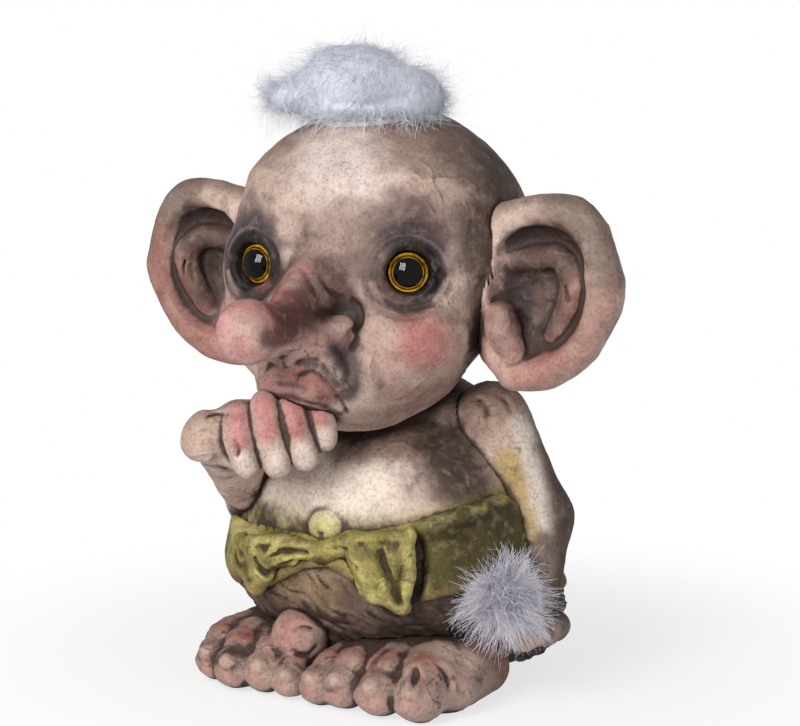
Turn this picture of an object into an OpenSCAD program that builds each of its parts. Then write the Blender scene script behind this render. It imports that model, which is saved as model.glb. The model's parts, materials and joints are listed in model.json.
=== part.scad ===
/* [Overall] */
// Part to draw
// Seam left between two glued castings
seam = 0.15; // [0.1:0.05:0.25]
// Clearance round a peg in its hole
peg_clear = 0.15; // [0.1:0.05:0.3]

/* [Head] */
// Width of the skull
skull_wide = 66; // [62:1:69]
// Depth of the skull front to back
skull_deep = 65; // [61:1:67]
// Height of the skull ball
skull_high = 65; // [61:1:67]
// Height of the skull's centre over the floor
skull_z = 93; // [91.5:0.5:94.5]
// Reach of the nose in front of the skull's centre
nose_reach = 51; // [44:0.5:54]
// Thickness of the nose tip
nose_tip_d = 12.8; // [11:0.2:15]
// Depth of the wrinkles round the mouth
wrinkle = 1.1; // [0.5:0.1:1.5]

/* [Ears] */
// Reach of the ears to each side of the middle
ear_reach = 59.5; // [57:0.5:64]
// Height of an ear
ear_high = 42.5; // [40:0.5:45]
// Thickness of the rolled ear rim
ear_rim = 7.5; // [6:0.5:10]
// Depth of the ear's hollow
ear_hollow = 4.2; // [3:0.2:5]

/* [Eyes] */
// Diameter of a glass eye
eye_d = 9; // [8:0.5:10]
// Bulge of the glass dome
eye_dome = 2.6; // [2:0.2:3]
// Distance between the eyes' middles
eye_gap = 38; // [36:0.2:40]
// Shift of both eyes towards the troll's left
eye_shift = 1.3; // [0:0.1:2]
// Turn of the left eye outwards
eye_turn = 28; // [20:1:32]
// Turn of the right eye outwards
eye_turn_right = 6; // [0:1:28]
// Thickness of the iris disc
iris_t = 0.6; // [0.4:0.1:1]
// Diameter of the wire shank
shank_d = 1.4; // [1:0.1:2]
// Length of the wire shank
shank_l = 6; // [4:0.5:8]

/* [Body] */
// Width of the body at the hips
body_wide = 71; // [68:1:74]
// Depth of the belly front to back
belly_deep = 50; // [47:1:53]
// Diameter of the navel disc
navel_d = 7.6; // [6:0.2:9]

/* [Arms] */
// Thickness of the upper arm
arm_d = 16.5; // [15:0.5:18]
// Thickness of a finger
finger_d = 6.4; // [5.6:0.2:7]

/* [Feet] */
// Width of a foot
foot_wide = 26; // [24:0.5:28]
// Diameter of the raised big toe
big_toe_d = 12.4; // [11:0.2:13.4]
// Diameter of the other toes
toe_d = 10.4; // [9:0.2:11]

/* [Nappy] */
// Thickness of the nappy wrap
nappy_t = 1.8; // [1.4:0.1:2.4]
// Height of the nappy's lower edge
nappy_low = 19.5; // [18:0.5:21]
// Height of the nappy's upper edge at the front
nappy_top = 34.5; // [32:0.5:36]

/* [Fur] */
// Width of the hair tuft
hair_wide = 35; // [30:1:40]
// Height of the hair tuft
hair_high = 18; // [15:1:22]
// Diameter of the tail tuft
tuft_d = 21; // [17:1:25]
// Thickness of the pelt backing
pelt_t = 1.2; // [0.8:0.1:1.6]
// Diameter of the pelt backing
pelt_d = 22; // [18:1:26]

/* [Tail] */
// Thickness of the tail at its root
tail_root_d = 7; // [6:0.5:8]
// Thickness of the tail at its tuft
tail_end_d = 5; // [4:0.5:6]

/* [Base] */
// Diameter of the base board
board_d = 34; // [30:1:38]
// Thickness of the base board
board_t = 3; // [2:0.5:4]
// Thickness of the felt pad
felt_t = 1; // [0.8:0.1:1.5]

/* [Pegs] */
// Diameter of the neck peg
neck_peg_d = 12; // [8:0.5:14]
// Length of the neck peg
neck_peg_l = 20; // [16:1:24]
// Diameter of the small pegs
peg_d = 4; // [3:0.5:5]
// Length of the small pegs
peg_l = 11; // [9:0.5:13]

/* [Hidden] */
$fn = 24;
eps = 0.01;
// The base board's centre is the origin, this far behind the middle of the head
base_y = 10;
skull_r = [skull_wide, skull_deep, skull_high] / 2;
nose_r = nose_tip_d / 2;
arm_r = arm_d / 2;
finger_r = finger_d / 2;
hip_x = body_wide / 2;
// the right eye lies further forward, beside the nose, so the sockets differ
function eye_at(side) = [side * eye_gap / 2 + eye_shift, (side > 0 ? -23.8 : -26.4) * skull_deep / 65, skull_z - 1];
eye_back = eye_dome + 0.4;
board_r = board_d / 2;
board_top = felt_t + board_t;
foot_x = 18;

// An ellipsoid lump of clay: centre, half sizes, and how far its skin is grown
module lump(c, r, g = 0, f = 16)
    hull() translate(c) scale([r.x + g, r.y + g, r.z + g]) sphere(1, $fn = f);

// A round-ended limb between two balls of different size
module limb(a, ra, b, rb, g = 0, f = 12)
    hull() {
        translate(a) sphere(ra + g, $fn = f);
        translate(b) sphere(rb + g, $fn = f);
    }

// A limb through several points, each given as [place, radius]
module chain(pts, g = 0, f = 12)
    for (i = [0 : len(pts) - 2]) limb(pts[i][0], pts[i][1], pts[i + 1][0], pts[i + 1][1], g, f);

module mirror_x(side) scale([side, 1, 1]) children();
module place() translate([0, -base_y, 0]) children();

// Head forms
module skull_form(g = 0, f = 32)
    hull() {
        translate([0, 0, skull_z]) scale(skull_r + [g, g, g]) sphere(1, $fn = f);
        translate([0, -11, 74]) scale([25 + g, 21 + g, 16.5 + g]) sphere(1, $fn = f * 2 / 3);
        // cheeks
        for (s = [-1, 1]) translate([s * 16.5, -17.5, 79]) scale([11.5 + g, 10.5 + g, 10 + g]) sphere(1, $fn = 20);
        // fuller temple at the right eye
        translate([-19, -16.5, 91]) scale([10.5 + g, 9 + g, 11 + g]) sphere(1, $fn = 16);
    }

module head_form(g = 0) {
    skull_form(g);
    // nose, from its broad root between the eyes to the ball at its tip
    hull() {
        translate([0, -24.5, 87.5]) scale([7.2 + g, 8.5 + g, 10.5 + g]) sphere(1, $fn = 16);
        translate([0, -nose_reach + 13, 82.6]) scale([nose_r - 1.4 + g, nose_r + g, nose_r - 0.2 + g]) sphere(1, $fn = 16);
    }
    limb([0, -nose_reach + 13, 82.4], nose_r - 1.2, [-0.6, -nose_reach + 5, 81.6], nose_r - 1, g, 16);
    lump([-0.8, -nose_reach, 81.6], [nose_r, nose_r - 0.2, nose_r + 0.4], g, 16);
    for (s = [-1, 1]) limb([s * 1.5, -37.2, 78], 4.8, [s * 7.4, -33, 79.4], 3.8, g, 10);
    // muzzle and lips
    lump([0, -27, 70], [14, 11, 9], g, 18);
    // jaw that rests on the fist
    lump([3, -19, 64.5], [13, 9, 7], g, 18);
    limb([-6, -35.5, 68.2], 3, [6, -35.5, 68.2], 3, g, 10);
}

// The casting's eye socket, with the pocket that the glass eye is glued into
module at_eye(side)
    translate(eye_at(side)) rotate([90, 0, side > 0 ? eye_turn : -eye_turn_right]) children();

module eye_cut(side) {
    at_eye(side) scale([9, 7.6, 3.6]) translate([0, 0, 0.65]) sphere(1, $fn = 18);
    // flare that opens the socket towards the nose
    at_eye(side) translate([0, 0, -2]) cylinder(h = 10, r1 = 5.2, r2 = 13.2, $fn = 20);
    at_eye(side) translate([0, 0, -eye_back - iris_t - seam]) cylinder(h = 12, d = eye_d + 2 * seam, $fn = 24);
    at_eye(side) translate([0, 0, -eye_back - iris_t - shank_l - seam])
        cylinder(h = shank_l + 1, d = shank_d + 2 * seam, $fn = 10);
}

module crease(pts, r = 0.9) chain([for (p = pts) [p, r]], 0, 6);

module head_cuts() {
    for (s = [-1, 1]) {
        eye_cut(s);
        // nostril
        lump([s * 6.4, -39.5, 73.6], [2, 2.6, 1.6], 0, 8);
        // fold from the nose wing down beside the mouth
        crease([[s * 10, -38.8, 80], [s * 13, -36, 72], [s * 14, -31.6, 65]], wrinkle);
        // crease at the outer corner of the eye
        crease([[s * 29.2, -16.6, 94], [s * 31.4, -11.5, 92.5]], 0.8);
    }
    // mouth and the folds over it
    crease([[-9, -35.5, 71.4], [-4, -38.6, 72.4], [4, -38.6, 72.4], [9, -35.5, 71.4]], wrinkle);
    crease([[-7, -34.9, 65], [0, -37.2, 64.6], [7, -34.9, 65]], 0.9);
}

// Body forms
module at_navel() translate([1.4, -belly_deep / 2, 36.6]) rotate([90, 0, 0]) children();
module navel_clear() at_navel() translate([0, 0, -4]) cylinder(h = 12, d = navel_d + 1.6, $fn = 20);
module trunk(g = 0, f = 28)
    hull() {
        translate([0, 5, 54]) scale([26.5 + g, 17 + g, 14 + g]) sphere(1, $fn = 20);
        translate([0, 0, 38]) scale([hip_x - 2.5 + g, belly_deep / 2 + g, 23 + g]) sphere(1, $fn = f);
        translate([0, -1, 25]) scale([hip_x + g, 27 + g, 20 + g]) sphere(1, $fn = f);
        for (s = [-1, 1]) translate([s * (hip_x - 11), 12, 15]) sphere(12.5 + g, $fn = 16);
        translate([0, 24, 15]) sphere(10 + g, $fn = 16);
    }

module body_form(g = 0) {
    trunk(g);
    // seat between the feet
    hull() {
        translate([0, base_y, felt_t + 4]) cylinder(h = 12, r = board_r + 6 + g, $fn = 28);
        translate([0, base_y, felt_t + 8]) cylinder(h = 8, r = board_r + 7 + g, $fn = 28);
        translate([0, base_y, felt_t - g]) cylinder(h = 5, r = board_r + 3 + g, $fn = 28);
    }
    // lower belly between the thighs
    limb([-12, -11, 15], 10, [12, -11, 15], 10, g, 16);
}

// Nappy forms
module nappy_zone()
    difference() {
        translate([-60, -60, nappy_low]) cube([120, 120, 40]);
        translate([0, -27, nappy_top]) rotate([15, 0, 0]) translate([-60, -60, 0]) cube([120, 130, 60]);
        translate([-60, 0, 47]) cube([120, 80, 60]);
        // the front is drawn up between the two ends of the bow
        lump([-2, -27, 17], [13, 10, 11], 0, 20);
    }

module nappy_form(g = 0)
    intersection() {
        trunk(nappy_t + g);
        nappy_zone();
    }

// Limb forms. Places across the body follow the hips
function hip(x) = x * hip_x / 35.5;
// joints of a finger: places and radii from the knuckle to the tip
module finger(knuckle, joint, tip, r, g = 0) chain([[knuckle, r * 0.97], [joint, r * 1.03], [tip, r * 0.9]], g, 10);

module arm_right_form(g = 0) {
    chain([[[hip(-25), 2, 58], arm_r + 0.3], [[hip(-31), -3, 36.5], arm_r - 0.2], [[hip(-25.5), -17, 44], arm_r - 1.6],
        [[-18.5, -37, 55.5], 5.8]], g, 12);
    // bent wrist
    lump([-17.6, -42.2, 57.4], [4.9, 4.9, 5.6], g, 12);
    // back of the hand, running in under the chin
    hull() {
        translate([-12, -38, 57.5]) scale([7 + g, 5.5 + g, 7.5 + g]) sphere(1, $fn = 12);
        translate([-1, -32, 58.5]) scale([5.4 + g, 5 + g, 7 + g]) sphere(1, $fn = 12);
    }
    // fingers, rolled over and down
    finger([-10.5, -40.5, 62.2], [-8.9, -42.4, 57.3], [-8.2, -40.8, 52], finger_r, g);
    finger([-5.6, -38, 64.6], [-3.6, -39.6, 59.1], [-2.8, -37.8, 52], finger_r, g);
    finger([-1.2, -35.2, 65.2], [0.9, -36, 60], [2, -34.4, 53.4], finger_r * 0.95, g);
    finger([2.4, -32, 64.4], [4.4, -32.2, 61], [4.6, -31, 57], finger_r * 0.85, g);
}

module arm_left_form(g = 0) {
    chain([[[hip(24.5), 4, 57.5], arm_r + 0.35], [[hip(33.6), 6.5, 37], arm_r - 0.05], [[hip(36), 2, 23], 6.4]], g, 12);
    // hand at the hip, its fingers resting on the thigh
    lump([hip(34.8), -3.5, 19.5], [4.8, 6.4, 5.4], g, 12);
    for (i = [0 : 2]) limb([hip(34.8), -0.6 - 4.2 * i, 19], 2.8, [hip(34.2), -1.6 - 4.3 * i, 15.6], 2.6, g, 10);
}

// A foot, drawn as the left one: sole and instep, then its toes
module foot_form(side, g = 0) {
    w = foot_wide / 2;
    hull() {
        translate([side * foot_x, -22, 6]) scale([w + g, 8 + g, 7.5 + g]) sphere(1, $fn = 16);
        translate([side * (foot_x + 1), -2, 7.5]) scale([w - 0.5 + g, 10 + g, 9 + g]) sphere(1, $fn = 16);
    }
    if (side > 0) {
        for (t = left_toes) toe([t[0], t[1], t[2]], toe_d * t[3], [foot_x + (t[0] - foot_x) * 0.75, -18, 8], g);
        // plain outer edge, where the little toe is tucked under
        limb([30, -22, 6], 5.6, [29, -8, 6.5], 6, g, 12);
    } else {
        toe([-6, -24.5, 12], big_toe_d / 2, [-12, -16, 9], g);
        for (t = right_toes) toe([t[0], t[1], t[2]], toe_d * t[3], [-foot_x + (t[0] + foot_x) * 0.75, -17, 8], g);
    }
}

// Toes: place of the tip and radius as a share of toe_d. The first is next to the other foot
left_toes = [[3.6, -31, 4.6, 0.42], [9.6, -30.6, 4.9, 0.47], [18.6, -31.2, 5.1, 0.5], [27.4, -30.4, 5.2, 0.52]];
right_toes = [[-11.4, -29.6, 4.9, 0.46], [-18.6, -30.4, 5, 0.48], [-26, -27, 5, 0.47]];

module toe(tip, r, root, g = 0) limb(tip, r, root, r * 1.05, g, 10);

module nail(tip, r) translate(tip + [0, -r * 0.72, r * 0.66]) rotate([38, 0, 0]) scale([r * 0.55, r * 0.42, r * 0.3])
    sphere(1, $fn = 8);

module foot(side)
    difference() {
        foot_form(side);
        translate([-80, -80, -20]) cube([160, 160, 20]);
        body_form(seam);
        // the sole ends at the seat
        translate([0, base_y, -1]) cylinder(h = felt_t + 2, r = board_r + 3 + seam, $fn = 28);
        // the two feet meet on the middle seam
        if (side > 0) foot_form(-1, seam);
        for (t = side > 0 ? left_toes : right_toes) nail([t[0], t[1], t[2]], toe_d * t[3]);
        foot_peg_hole(side);
    }

// Ears, drawn as the left one. The outline is a ring of balls, filled and then hollowed
function ear_k() = ear_high / 42.5;
function ear_pt(x, z) = [31 + (x - 31) * (ear_reach + 0.5 - 31) / 29, -5, 87 + (z - 87) * ear_k()];
ear_ring = [ear_pt(33, 102.5), ear_pt(41, 104), ear_pt(48.5, 104), ear_pt(53, 99.5), ear_pt(56, 90),
    ear_pt(55.4, 85), ear_pt(50.4, 76.8), ear_pt(43, 71.4), ear_pt(35, 70)];

module ear_form(side, g = 0)
    mirror_x(side) {
        for (i = [0 : len(ear_ring) - 2])
            limb(ear_ring[i], ear_rim / 2, ear_ring[i + 1], ear_rim / 2, g, 10);
        // web of the ear behind the rim, running into the head
        hull() {
            for (p = ear_ring) translate(p + [0, 1.6, 0]) sphere(1.8 + g, $fn = 8);
            translate([24, -1, 100]) sphere(2.4 + g, $fn = 8);
            translate([24, -1, 74]) sphere(2.4 + g, $fn = 8);
        }
        // root block that takes the peg
        hull() {
            translate([28, -0.5, 97]) sphere(4 + g, $fn = 10);
            translate([30, -0.5, 76]) sphere(4 + g, $fn = 10);
            translate([37.5, -1, 87]) sphere(3 + g, $fn = 10);
        }
        // inner folds
        chain([[ear_pt(38, 92.5) + [0, -1, 0], 1.6], [ear_pt(45, 95.5) + [0, -1, 0], 1.7],
            [ear_pt(48.5, 88) + [0, -0.8, 0], 1.5], [ear_pt(44, 79) + [0, -0.6, 0], 1.2]], g, 8);
        limb(ear_pt(34.5, 86) + [0, -1.6, 0], 2.6, ear_pt(33.8, 78) + [0, -1.4, 0], 2.4, g, 8);
    }

module ear(side)
    difference() {
        ear_form(side);
        skull_form(seam, 48);
        mirror_x(side) {
            // hollow of the ear, deepest near the head
            lump(ear_pt(40.5, 86) + [0, -1.5, 0], [4.4, ear_hollow, 5.5], 0, 12);
            crease([ear_pt(35, 95) + [0, -3, 0], ear_pt(40, 99) + [0, -2.5, 0], ear_pt(47, 98.8) + [0, -2.5, 0]], 1.1);
        }
        ear_peg_hole(side);
    }

// Pegs and their holes share one axis and one size
module ear_peg_axis(side) translate([side * (skull_r.x + 4.5 - peg_l), -1, 87]) rotate([0, side * 90, 0]) children();
module ear_peg_hole(side) ear_peg_axis(side) translate([0, 0, -0.5]) cylinder(h = peg_l + 1, d = peg_d + 2 * peg_clear, $fn = 14);
module neck_hole() translate([0, 2, 60 - neck_peg_l / 2 - 0.5]) cylinder(h = neck_peg_l + 1, d = neck_peg_d + 2 * peg_clear, $fn = 28);
module arm_peg_axis(side) translate([side * (hip(33.7) - peg_l), 3, 52]) rotate([0, side * 90, 0]) children();
module arm_peg_hole(side) arm_peg_axis(side) translate([0, 0, -0.5]) cylinder(h = peg_l + 1, d = peg_d + 2 * peg_clear, $fn = 14);
module foot_peg_axis(side) translate([side * foot_x, -16 - peg_l / 2, 8.5]) rotate([-90, 0, 0]) children();
module foot_peg_hole(side) foot_peg_axis(side) translate([0, 0, -0.5]) cylinder(h = peg_l + 1, d = peg_d + 2 * peg_clear, $fn = 14);

// Nodes
module body() color("#cdb6a4") place()
    difference() {
        union() {
            body_form();
            at_navel() translate([0, 0, -1.4]) cylinder(h = 2.3, d1 = navel_d + 1, d2 = navel_d - 1, $fn = 16);
        }
        head_form(seam);
        neck_hole();
        arm_peg_hole(-1);
        arm_peg_hole(1);
        foot_peg_hole(-1);
        foot_peg_hole(1);
        translate([0, base_y, felt_t - 1]) cylinder(h = board_t + 1 + seam, r = board_r + seam + 0.1, $fn = 48);
        translate([0, base_y, -20]) cylinder(h = 20 + felt_t, r = 90, $fn = 8);
        tail_form(seam);
    }

module head() color("#cfb8a8") place()
    difference() {
        head_form();
        head_cuts();
        neck_hole();
        ear_peg_hole(-1);
        ear_peg_hole(1);
        crown_axis() cylinder(h = 20, d = pelt_d + 2 * seam, $fn = 28);
    }

module ear_right() color("#cf9f97") place() ear(-1);
module ear_left() color("#cfae9f") place() ear(1);

module arm_right() color("#d3bfae") place()
    difference() {
        arm_right_form();
        body_form(seam);
        nappy_form(seam);
        head_form(seam);
        arm_peg_hole(-1);
    }

module arm_left() color("#d3bfae") place()
    difference() {
        arm_left_form();
        body_form(seam);
        nappy_form(seam);
        head_form(seam);
        foot_form(1, seam);
        tail_form(seam);
        arm_peg_hole(1);
    }

module foot_right() color("#caa596") place() foot(-1);
module foot_left() color("#caa596") place() foot(1);

module nappy() color("#8f9436") place()
    difference() {
        nappy_form();
        body_form(seam);
        navel_clear();
        tail_form(seam);
    }

// Front of the nappy at a width and height, from the two ellipsoids that the trunk is drawn from
function dome(x, z, c, r) = c[0] - r.y * sqrt(max(0.05, 1 - pow(x / r.x, 2) - pow((z - c[1]) / r.z, 2)));
function nappy_front(x, z) = min(dome(x, z, [0, 38], [hip_x - 2.5, belly_deep / 2, 23] + nappy_t * [1, 1, 1]),
    dome(x, z, [-1, 25], [hip_x, 27, 20] + nappy_t * [1, 1, 1]));
// A fold of the bow: a skin over balls, each given as [x, z, how far out, radius]
module fold(pts, g = 0)
    hull() for (p = pts) translate([p[0], nappy_front(p[0], p[1]) - p[2], p[1]]) sphere(p[3] + g, $fn = 8);

module bow_form(g = 0) {
    lump([0, nappy_front(0, 32) - 1.4, 32], [3.6, 2.8, 3], g, 10);
    // end to the troll's right, folded back on itself with a notch under the fold
    fold([[-2, 32.2, 0.8, 1.7], [-13, 33, 0.9, 1.7], [-10, 29, 0.6, 1.6]], g);
    fold([[-12, 33, 0.9, 1.7], [-23.5, 32.6, 0.6, 1.7], [-19, 29.6, 0.8, 1.6], [-11, 30, 0.7, 1.6]], g);
    fold([[-23.5, 32.2, 0.6, 1.7], [-18.5, 29.5, 0.9, 1.7], [-20, 21.4, 0.6, 1.5], [-25.5, 24, 0.4, 1.5]], g);
    fold([[-10.5, 30.2, 0.9, 1.5], [-17, 25.2, 0.8, 1.3], [-20, 28, 1.2, 1.3]], g);
    // end to the troll's left, wide, with its point hanging down
    fold([[2, 32, 0.8, 1.8], [17.5, 36.4, 1, 1.7], [18.6, 24.6, 1, 1.7], [4, 27.4, 0.7, 1.6]], g);
    fold([[17.5, 36.4, 1, 1.7], [22, 34.4, 0.4, 1.4], [20.4, 21.8, 0.8, 1.3]], g);
}

module nappy_bow() color("#a3a63c") place()
    difference() {
        bow_form();
        trunk(nappy_t + seam);
        body_form(seam);
        navel_clear();
    }

module eye_glass(side) color("#20242a", 0.5) place() at_eye(side)
    translate([0, 0, -eye_back])
        rotate_extrude($fn = 32)
            intersection() {
                translate([0, eye_dome - eye_ball_r()]) circle(eye_ball_r(), $fn = 40);
                square([eye_d / 2, eye_dome + 1]);
            }
// ball whose cap has the dome's bulge over the eye's diameter
function eye_ball_r() = (pow(eye_d / 2 - 0.2, 2) + pow(eye_dome, 2)) / (2 * eye_dome);
module eye_glass_right() eye_glass(-1);
module eye_glass_left() eye_glass(1);

module eye_iris(side) color("#c89420") place() at_eye(side)
    translate([0, 0, -eye_back - iris_t]) cylinder(h = iris_t, d = eye_d, $fn = 48);
module eye_iris_right() eye_iris(-1);
module eye_iris_left() eye_iris(1);

module eye_shank(side) color("#8a8a8a") place() at_eye(side)
    translate([0, 0, -eye_back - iris_t - shank_l]) cylinder(h = shank_l, d = shank_d, $fn = 24);
module eye_shank_right() eye_shank(-1);
module eye_shank_left() eye_shank(1);

// Hair. The crown is cut flat for the pelt, which is glued down on the flat
crown_cut = skull_r.z - sqrt(pow(skull_r.z, 2) - pow(pelt_d / 2, 2)) + 0.3;
module crown_axis() translate([0, 0, skull_z]) rotate([10, 0, 0]) translate([0, 0, skull_r.z - crown_cut]) children();
module hair_pelt() color("#c9cbd6") place() crown_axis() translate([0, 0, seam]) cylinder(h = pelt_t, d = pelt_d, $fn = 48);

module hair_tuft() color("#d5d9e3") place()
    difference() {
        union() {
            lump([-2.5, -7, 129.3], [hair_wide / 2, 14.5, hair_high / 2 + 1.8], 0, 12);
            // locks, the longest one to the troll's right
            limb([-12, -11, 127], 6, [-20.5, -14, 125.5], 2.6, 0, 8);
            limb([-8, -14, 131], 6.5, [-12, -19, 132], 3.4, 0, 8);
            limb([2, -14, 128], 7, [5, -19, 127], 3.6, 0, 8);
            limb([9, -6, 128], 7, [15.5, -3, 126], 3.4, 0, 8);
            limb([6, 2, 128], 6.5, [9, 7, 126], 3.8, 0, 8);
            limb([-8, 1, 128], 6.5, [-12, 6, 126.5], 3.6, 0, 8);
            limb([-6, -8, 134], 6.5, [-9, -9, 138], 3.2, 0, 8);
            limb([4, -8, 132], 6.5, [6, -8, 136.5], 3.6, 0, 8);
        }
        skull_form(seam, 28);
        crown_axis() cylinder(h = pelt_t + 2 * seam, d = pelt_d + 2 * seam, $fn = 24);
    }

// Tail along the left hip, with its tuft in front of the hand
tail_path = [[16, 31, 9], [hip(26), 26, 9], [hip(33.5), 17, 10.5], [hip(37), 6, 12], [hip(38), -5, 13.5],
    [hip(37.5), -12, 17.5]];
module tail_form(g = 0) {
    n = len(tail_path) - 1;
    for (i = [0 : n - 1])
        limb(tail_path[i], (tail_root_d + (tail_end_d - tail_root_d) * i / n) / 2,
            tail_path[i + 1], (tail_root_d + (tail_end_d - tail_root_d) * (i + 1) / n) / 2, g, 10);
}

module tail() color("#6b5a4a") place() tail_form();

module tail_tuft() color("#a8a6bc") place()
    difference() {
        translate([hip(37.2), -12.3, 24.4]) rotate([0, 0, -32]) scale([0.8, 1, 1]) sphere(tuft_d / 2, $fn = 16);
        tail_form(seam);
        arm_left_form(seam);
        body_form(seam);
        nappy_form(seam);
        foot_form(1, seam);
    }

// Pegs
module neck_peg() color("#b98d5a") place() translate([0, 2, 60 - neck_peg_l / 2]) cylinder(h = neck_peg_l, d = neck_peg_d, $fn = 48);
module ear_peg_right() color("#b98d5a") place() ear_peg_axis(-1) cylinder(h = peg_l, d = peg_d, $fn = 32);
module ear_peg_left() color("#b98d5a") place() ear_peg_axis(1) cylinder(h = peg_l, d = peg_d, $fn = 32);
module arm_peg_right() color("#b98d5a") place() arm_peg_axis(-1) cylinder(h = peg_l, d = peg_d, $fn = 32);
module arm_peg_left() color("#b98d5a") place() arm_peg_axis(1) cylinder(h = peg_l, d = peg_d, $fn = 32);
module foot_peg_right() color("#b98d5a") place() foot_peg_axis(-1) cylinder(h = peg_l, d = peg_d, $fn = 32);
module foot_peg_left() color("#b98d5a") place() foot_peg_axis(1) cylinder(h = peg_l, d = peg_d, $fn = 32);

// Base
module base_board() color("#b58a5c") translate([0, 0, felt_t]) cylinder(h = board_t, r = board_r, $fn = 64);
module base_felt() color("#3a4a3a") cylinder(h = felt_t, r = board_r + 2, $fn = 64);

body();
head();
ear_right();
ear_left();
arm_right();
arm_left();
foot_right();
foot_left();
nappy();
nappy_bow();
eye_glass_right();
eye_glass_left();
eye_iris_right();
eye_iris_left();
eye_shank_right();
eye_shank_left();
hair_pelt();
hair_tuft();
tail();
tail_tuft();
neck_peg();
ear_peg_right();
ear_peg_left();
arm_peg_right();
arm_peg_left();
foot_peg_right();
foot_peg_left();
base_board();
base_felt();
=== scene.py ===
# %% [markdown]
# # Norwegian troll figure
# A small shelf ornament: a moulded troll with big ears, a long nose, glass eyes, a green nappy and two
# tufts of fur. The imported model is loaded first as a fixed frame. Every piece made below is placed in
# that frame, in metres, and stands for the plain solid of the same name.

# %% Load the fixed frame
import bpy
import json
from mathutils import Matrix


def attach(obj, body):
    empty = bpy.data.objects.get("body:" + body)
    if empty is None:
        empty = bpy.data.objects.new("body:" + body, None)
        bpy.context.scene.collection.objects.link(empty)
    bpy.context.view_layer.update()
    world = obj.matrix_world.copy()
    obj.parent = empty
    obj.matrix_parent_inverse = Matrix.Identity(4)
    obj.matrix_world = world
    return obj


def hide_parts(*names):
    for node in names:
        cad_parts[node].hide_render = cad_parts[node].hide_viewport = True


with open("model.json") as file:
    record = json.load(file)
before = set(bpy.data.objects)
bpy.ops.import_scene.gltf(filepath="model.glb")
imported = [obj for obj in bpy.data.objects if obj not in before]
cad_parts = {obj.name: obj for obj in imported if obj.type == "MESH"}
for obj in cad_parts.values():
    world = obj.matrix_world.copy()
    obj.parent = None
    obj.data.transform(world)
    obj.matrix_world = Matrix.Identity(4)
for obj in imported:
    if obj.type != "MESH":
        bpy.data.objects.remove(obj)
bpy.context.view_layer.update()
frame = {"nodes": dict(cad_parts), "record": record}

# %% [markdown]
# ## Camera of the photograph
# The photograph was taken from the troll's front left, a little above it, with a long lens. The same
# camera is used twice: for the picture, and to find the point of the clay that lies under a pixel of the
# photograph, so that a crease or a spray of paint lands where the photograph shows it. All sculpting is
# done in millimetres about the middle of the belly, which lies 10 mm behind the model's origin.

# %% Where the camera stands
import math
import numpy as np
import bpy
from mathutils import Vector

BELLY_BACK = 10.0                     # mm from the belly's middle forward to the model's origin
PIXEL = 0.22                          # mm in a pixel at the figure
AIM = 385                             # the pixel, across and down, that looks at the middle
turn, lift, away = math.radians(32), math.radians(9), 520.0
right = np.array([math.cos(turn), math.sin(turn), 0.0])
toward = np.array([math.sin(turn) * math.cos(lift), -math.cos(turn) * math.cos(lift), math.sin(lift)])
upward = np.cross(toward, right) * (1 if np.cross(toward, right)[2] > 0 else -1)
middle = np.array([0.0, 0.0, 64.0])
lens_at = middle + away * toward
pixels_per_turn = away / PIXEL        # focal length in pixels of an 800 pixel wide picture
print("camera stands at", lens_at.round(1), "mm")

# %% [markdown]
# ## Clay in a block of numbers
# The real castings come from a clay model: lumps pressed together, then hollowed and creased with a tool.
# A mesh of boxes can't do that softly. So each casting is a grid of distances, negative inside the clay.
# Adding a lump takes the smaller distance, with a soft corner where the two meet, and cutting takes the
# larger of the old distance and the tool's, turned inside out. Only the cells near a lump are touched.

# %% Lumps and tools
def soft_min(a, b, soft):
    near = np.maximum(soft - np.abs(a - b), 0) / max(soft, 1e-6)
    return np.minimum(a, b) - near * near * soft * 0.25

def egg(x, y, z, centre, size, lean=0.0):
    dx, dy, dz = x - centre[0], y - centre[1], z - centre[2]
    if lean:
        dx, dy = math.cos(lean) * dx + math.sin(lean) * dy, -math.sin(lean) * dx + math.cos(lean) * dy
    dx, dy, dz = dx / size[0], dy / size[1], dz / size[2]
    reach = np.sqrt(dx * dx + dy * dy + dz * dz) + 1e-6
    steep = np.sqrt((dx / size[0]) ** 2 + (dy / size[1]) ** 2 + (dz / size[2]) ** 2) + 1e-6
    return reach * (reach - 1) / steep

def sausage(x, y, z, a, ra, b, rb):
    run = b - a
    t = ((x - a[0]) * run[0] + (y - a[1]) * run[1] + (z - a[2]) * run[2]) / max(run @ run, 1e-9)
    t = np.clip(t, 0, 1)
    return egg(x, y, z, [a[i] + t * run[i] for i in range(3)], [ra[i] + t * (rb[i] - ra[i]) for i in range(3)])

def slab(x, y, z, a, b, c, thick):
    """a flat flap of clay between three corners"""
    ab, ac = b - a, c - a
    px, py, pz = x - a[0], y - a[1], z - a[2]
    d1, d2 = px * ab[0] + py * ab[1] + pz * ab[2], px * ac[0] + py * ac[1] + pz * ac[2]
    q11, q12, q22 = ab @ ab, ab @ ac, ac @ ac
    room = q11 * q22 - q12 * q12
    u, v = np.clip((q22 * d1 - q12 * d2) / room, 0, 1), np.clip((q11 * d2 - q12 * d1) / room, 0, 1)
    over = np.maximum(u + v - 1, 0) / 2
    u, v = u - over, v - over
    return np.sqrt((px - u * ab[0] - v * ac[0]) ** 2 + (py - u * ab[1] - v * ac[1]) ** 2
                   + (pz - u * ab[2] - v * ac[2]) ** 2) - thick

def bend(path, steps):
    """a smooth curve through the points of a path"""
    ends = [path[0], *path, path[-1]]
    return [0.5 * (2 * b + (c - a) * t + (2 * a - 5 * b + 4 * c - d) * t ** 2 + (3 * b - a - 3 * c + d) * t ** 3)
            for a, b, c, d in zip(ends, ends[1:], ends[2:], ends[3:])
            for t in (k / steps for k in range(steps))] + [path[-1]]

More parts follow.
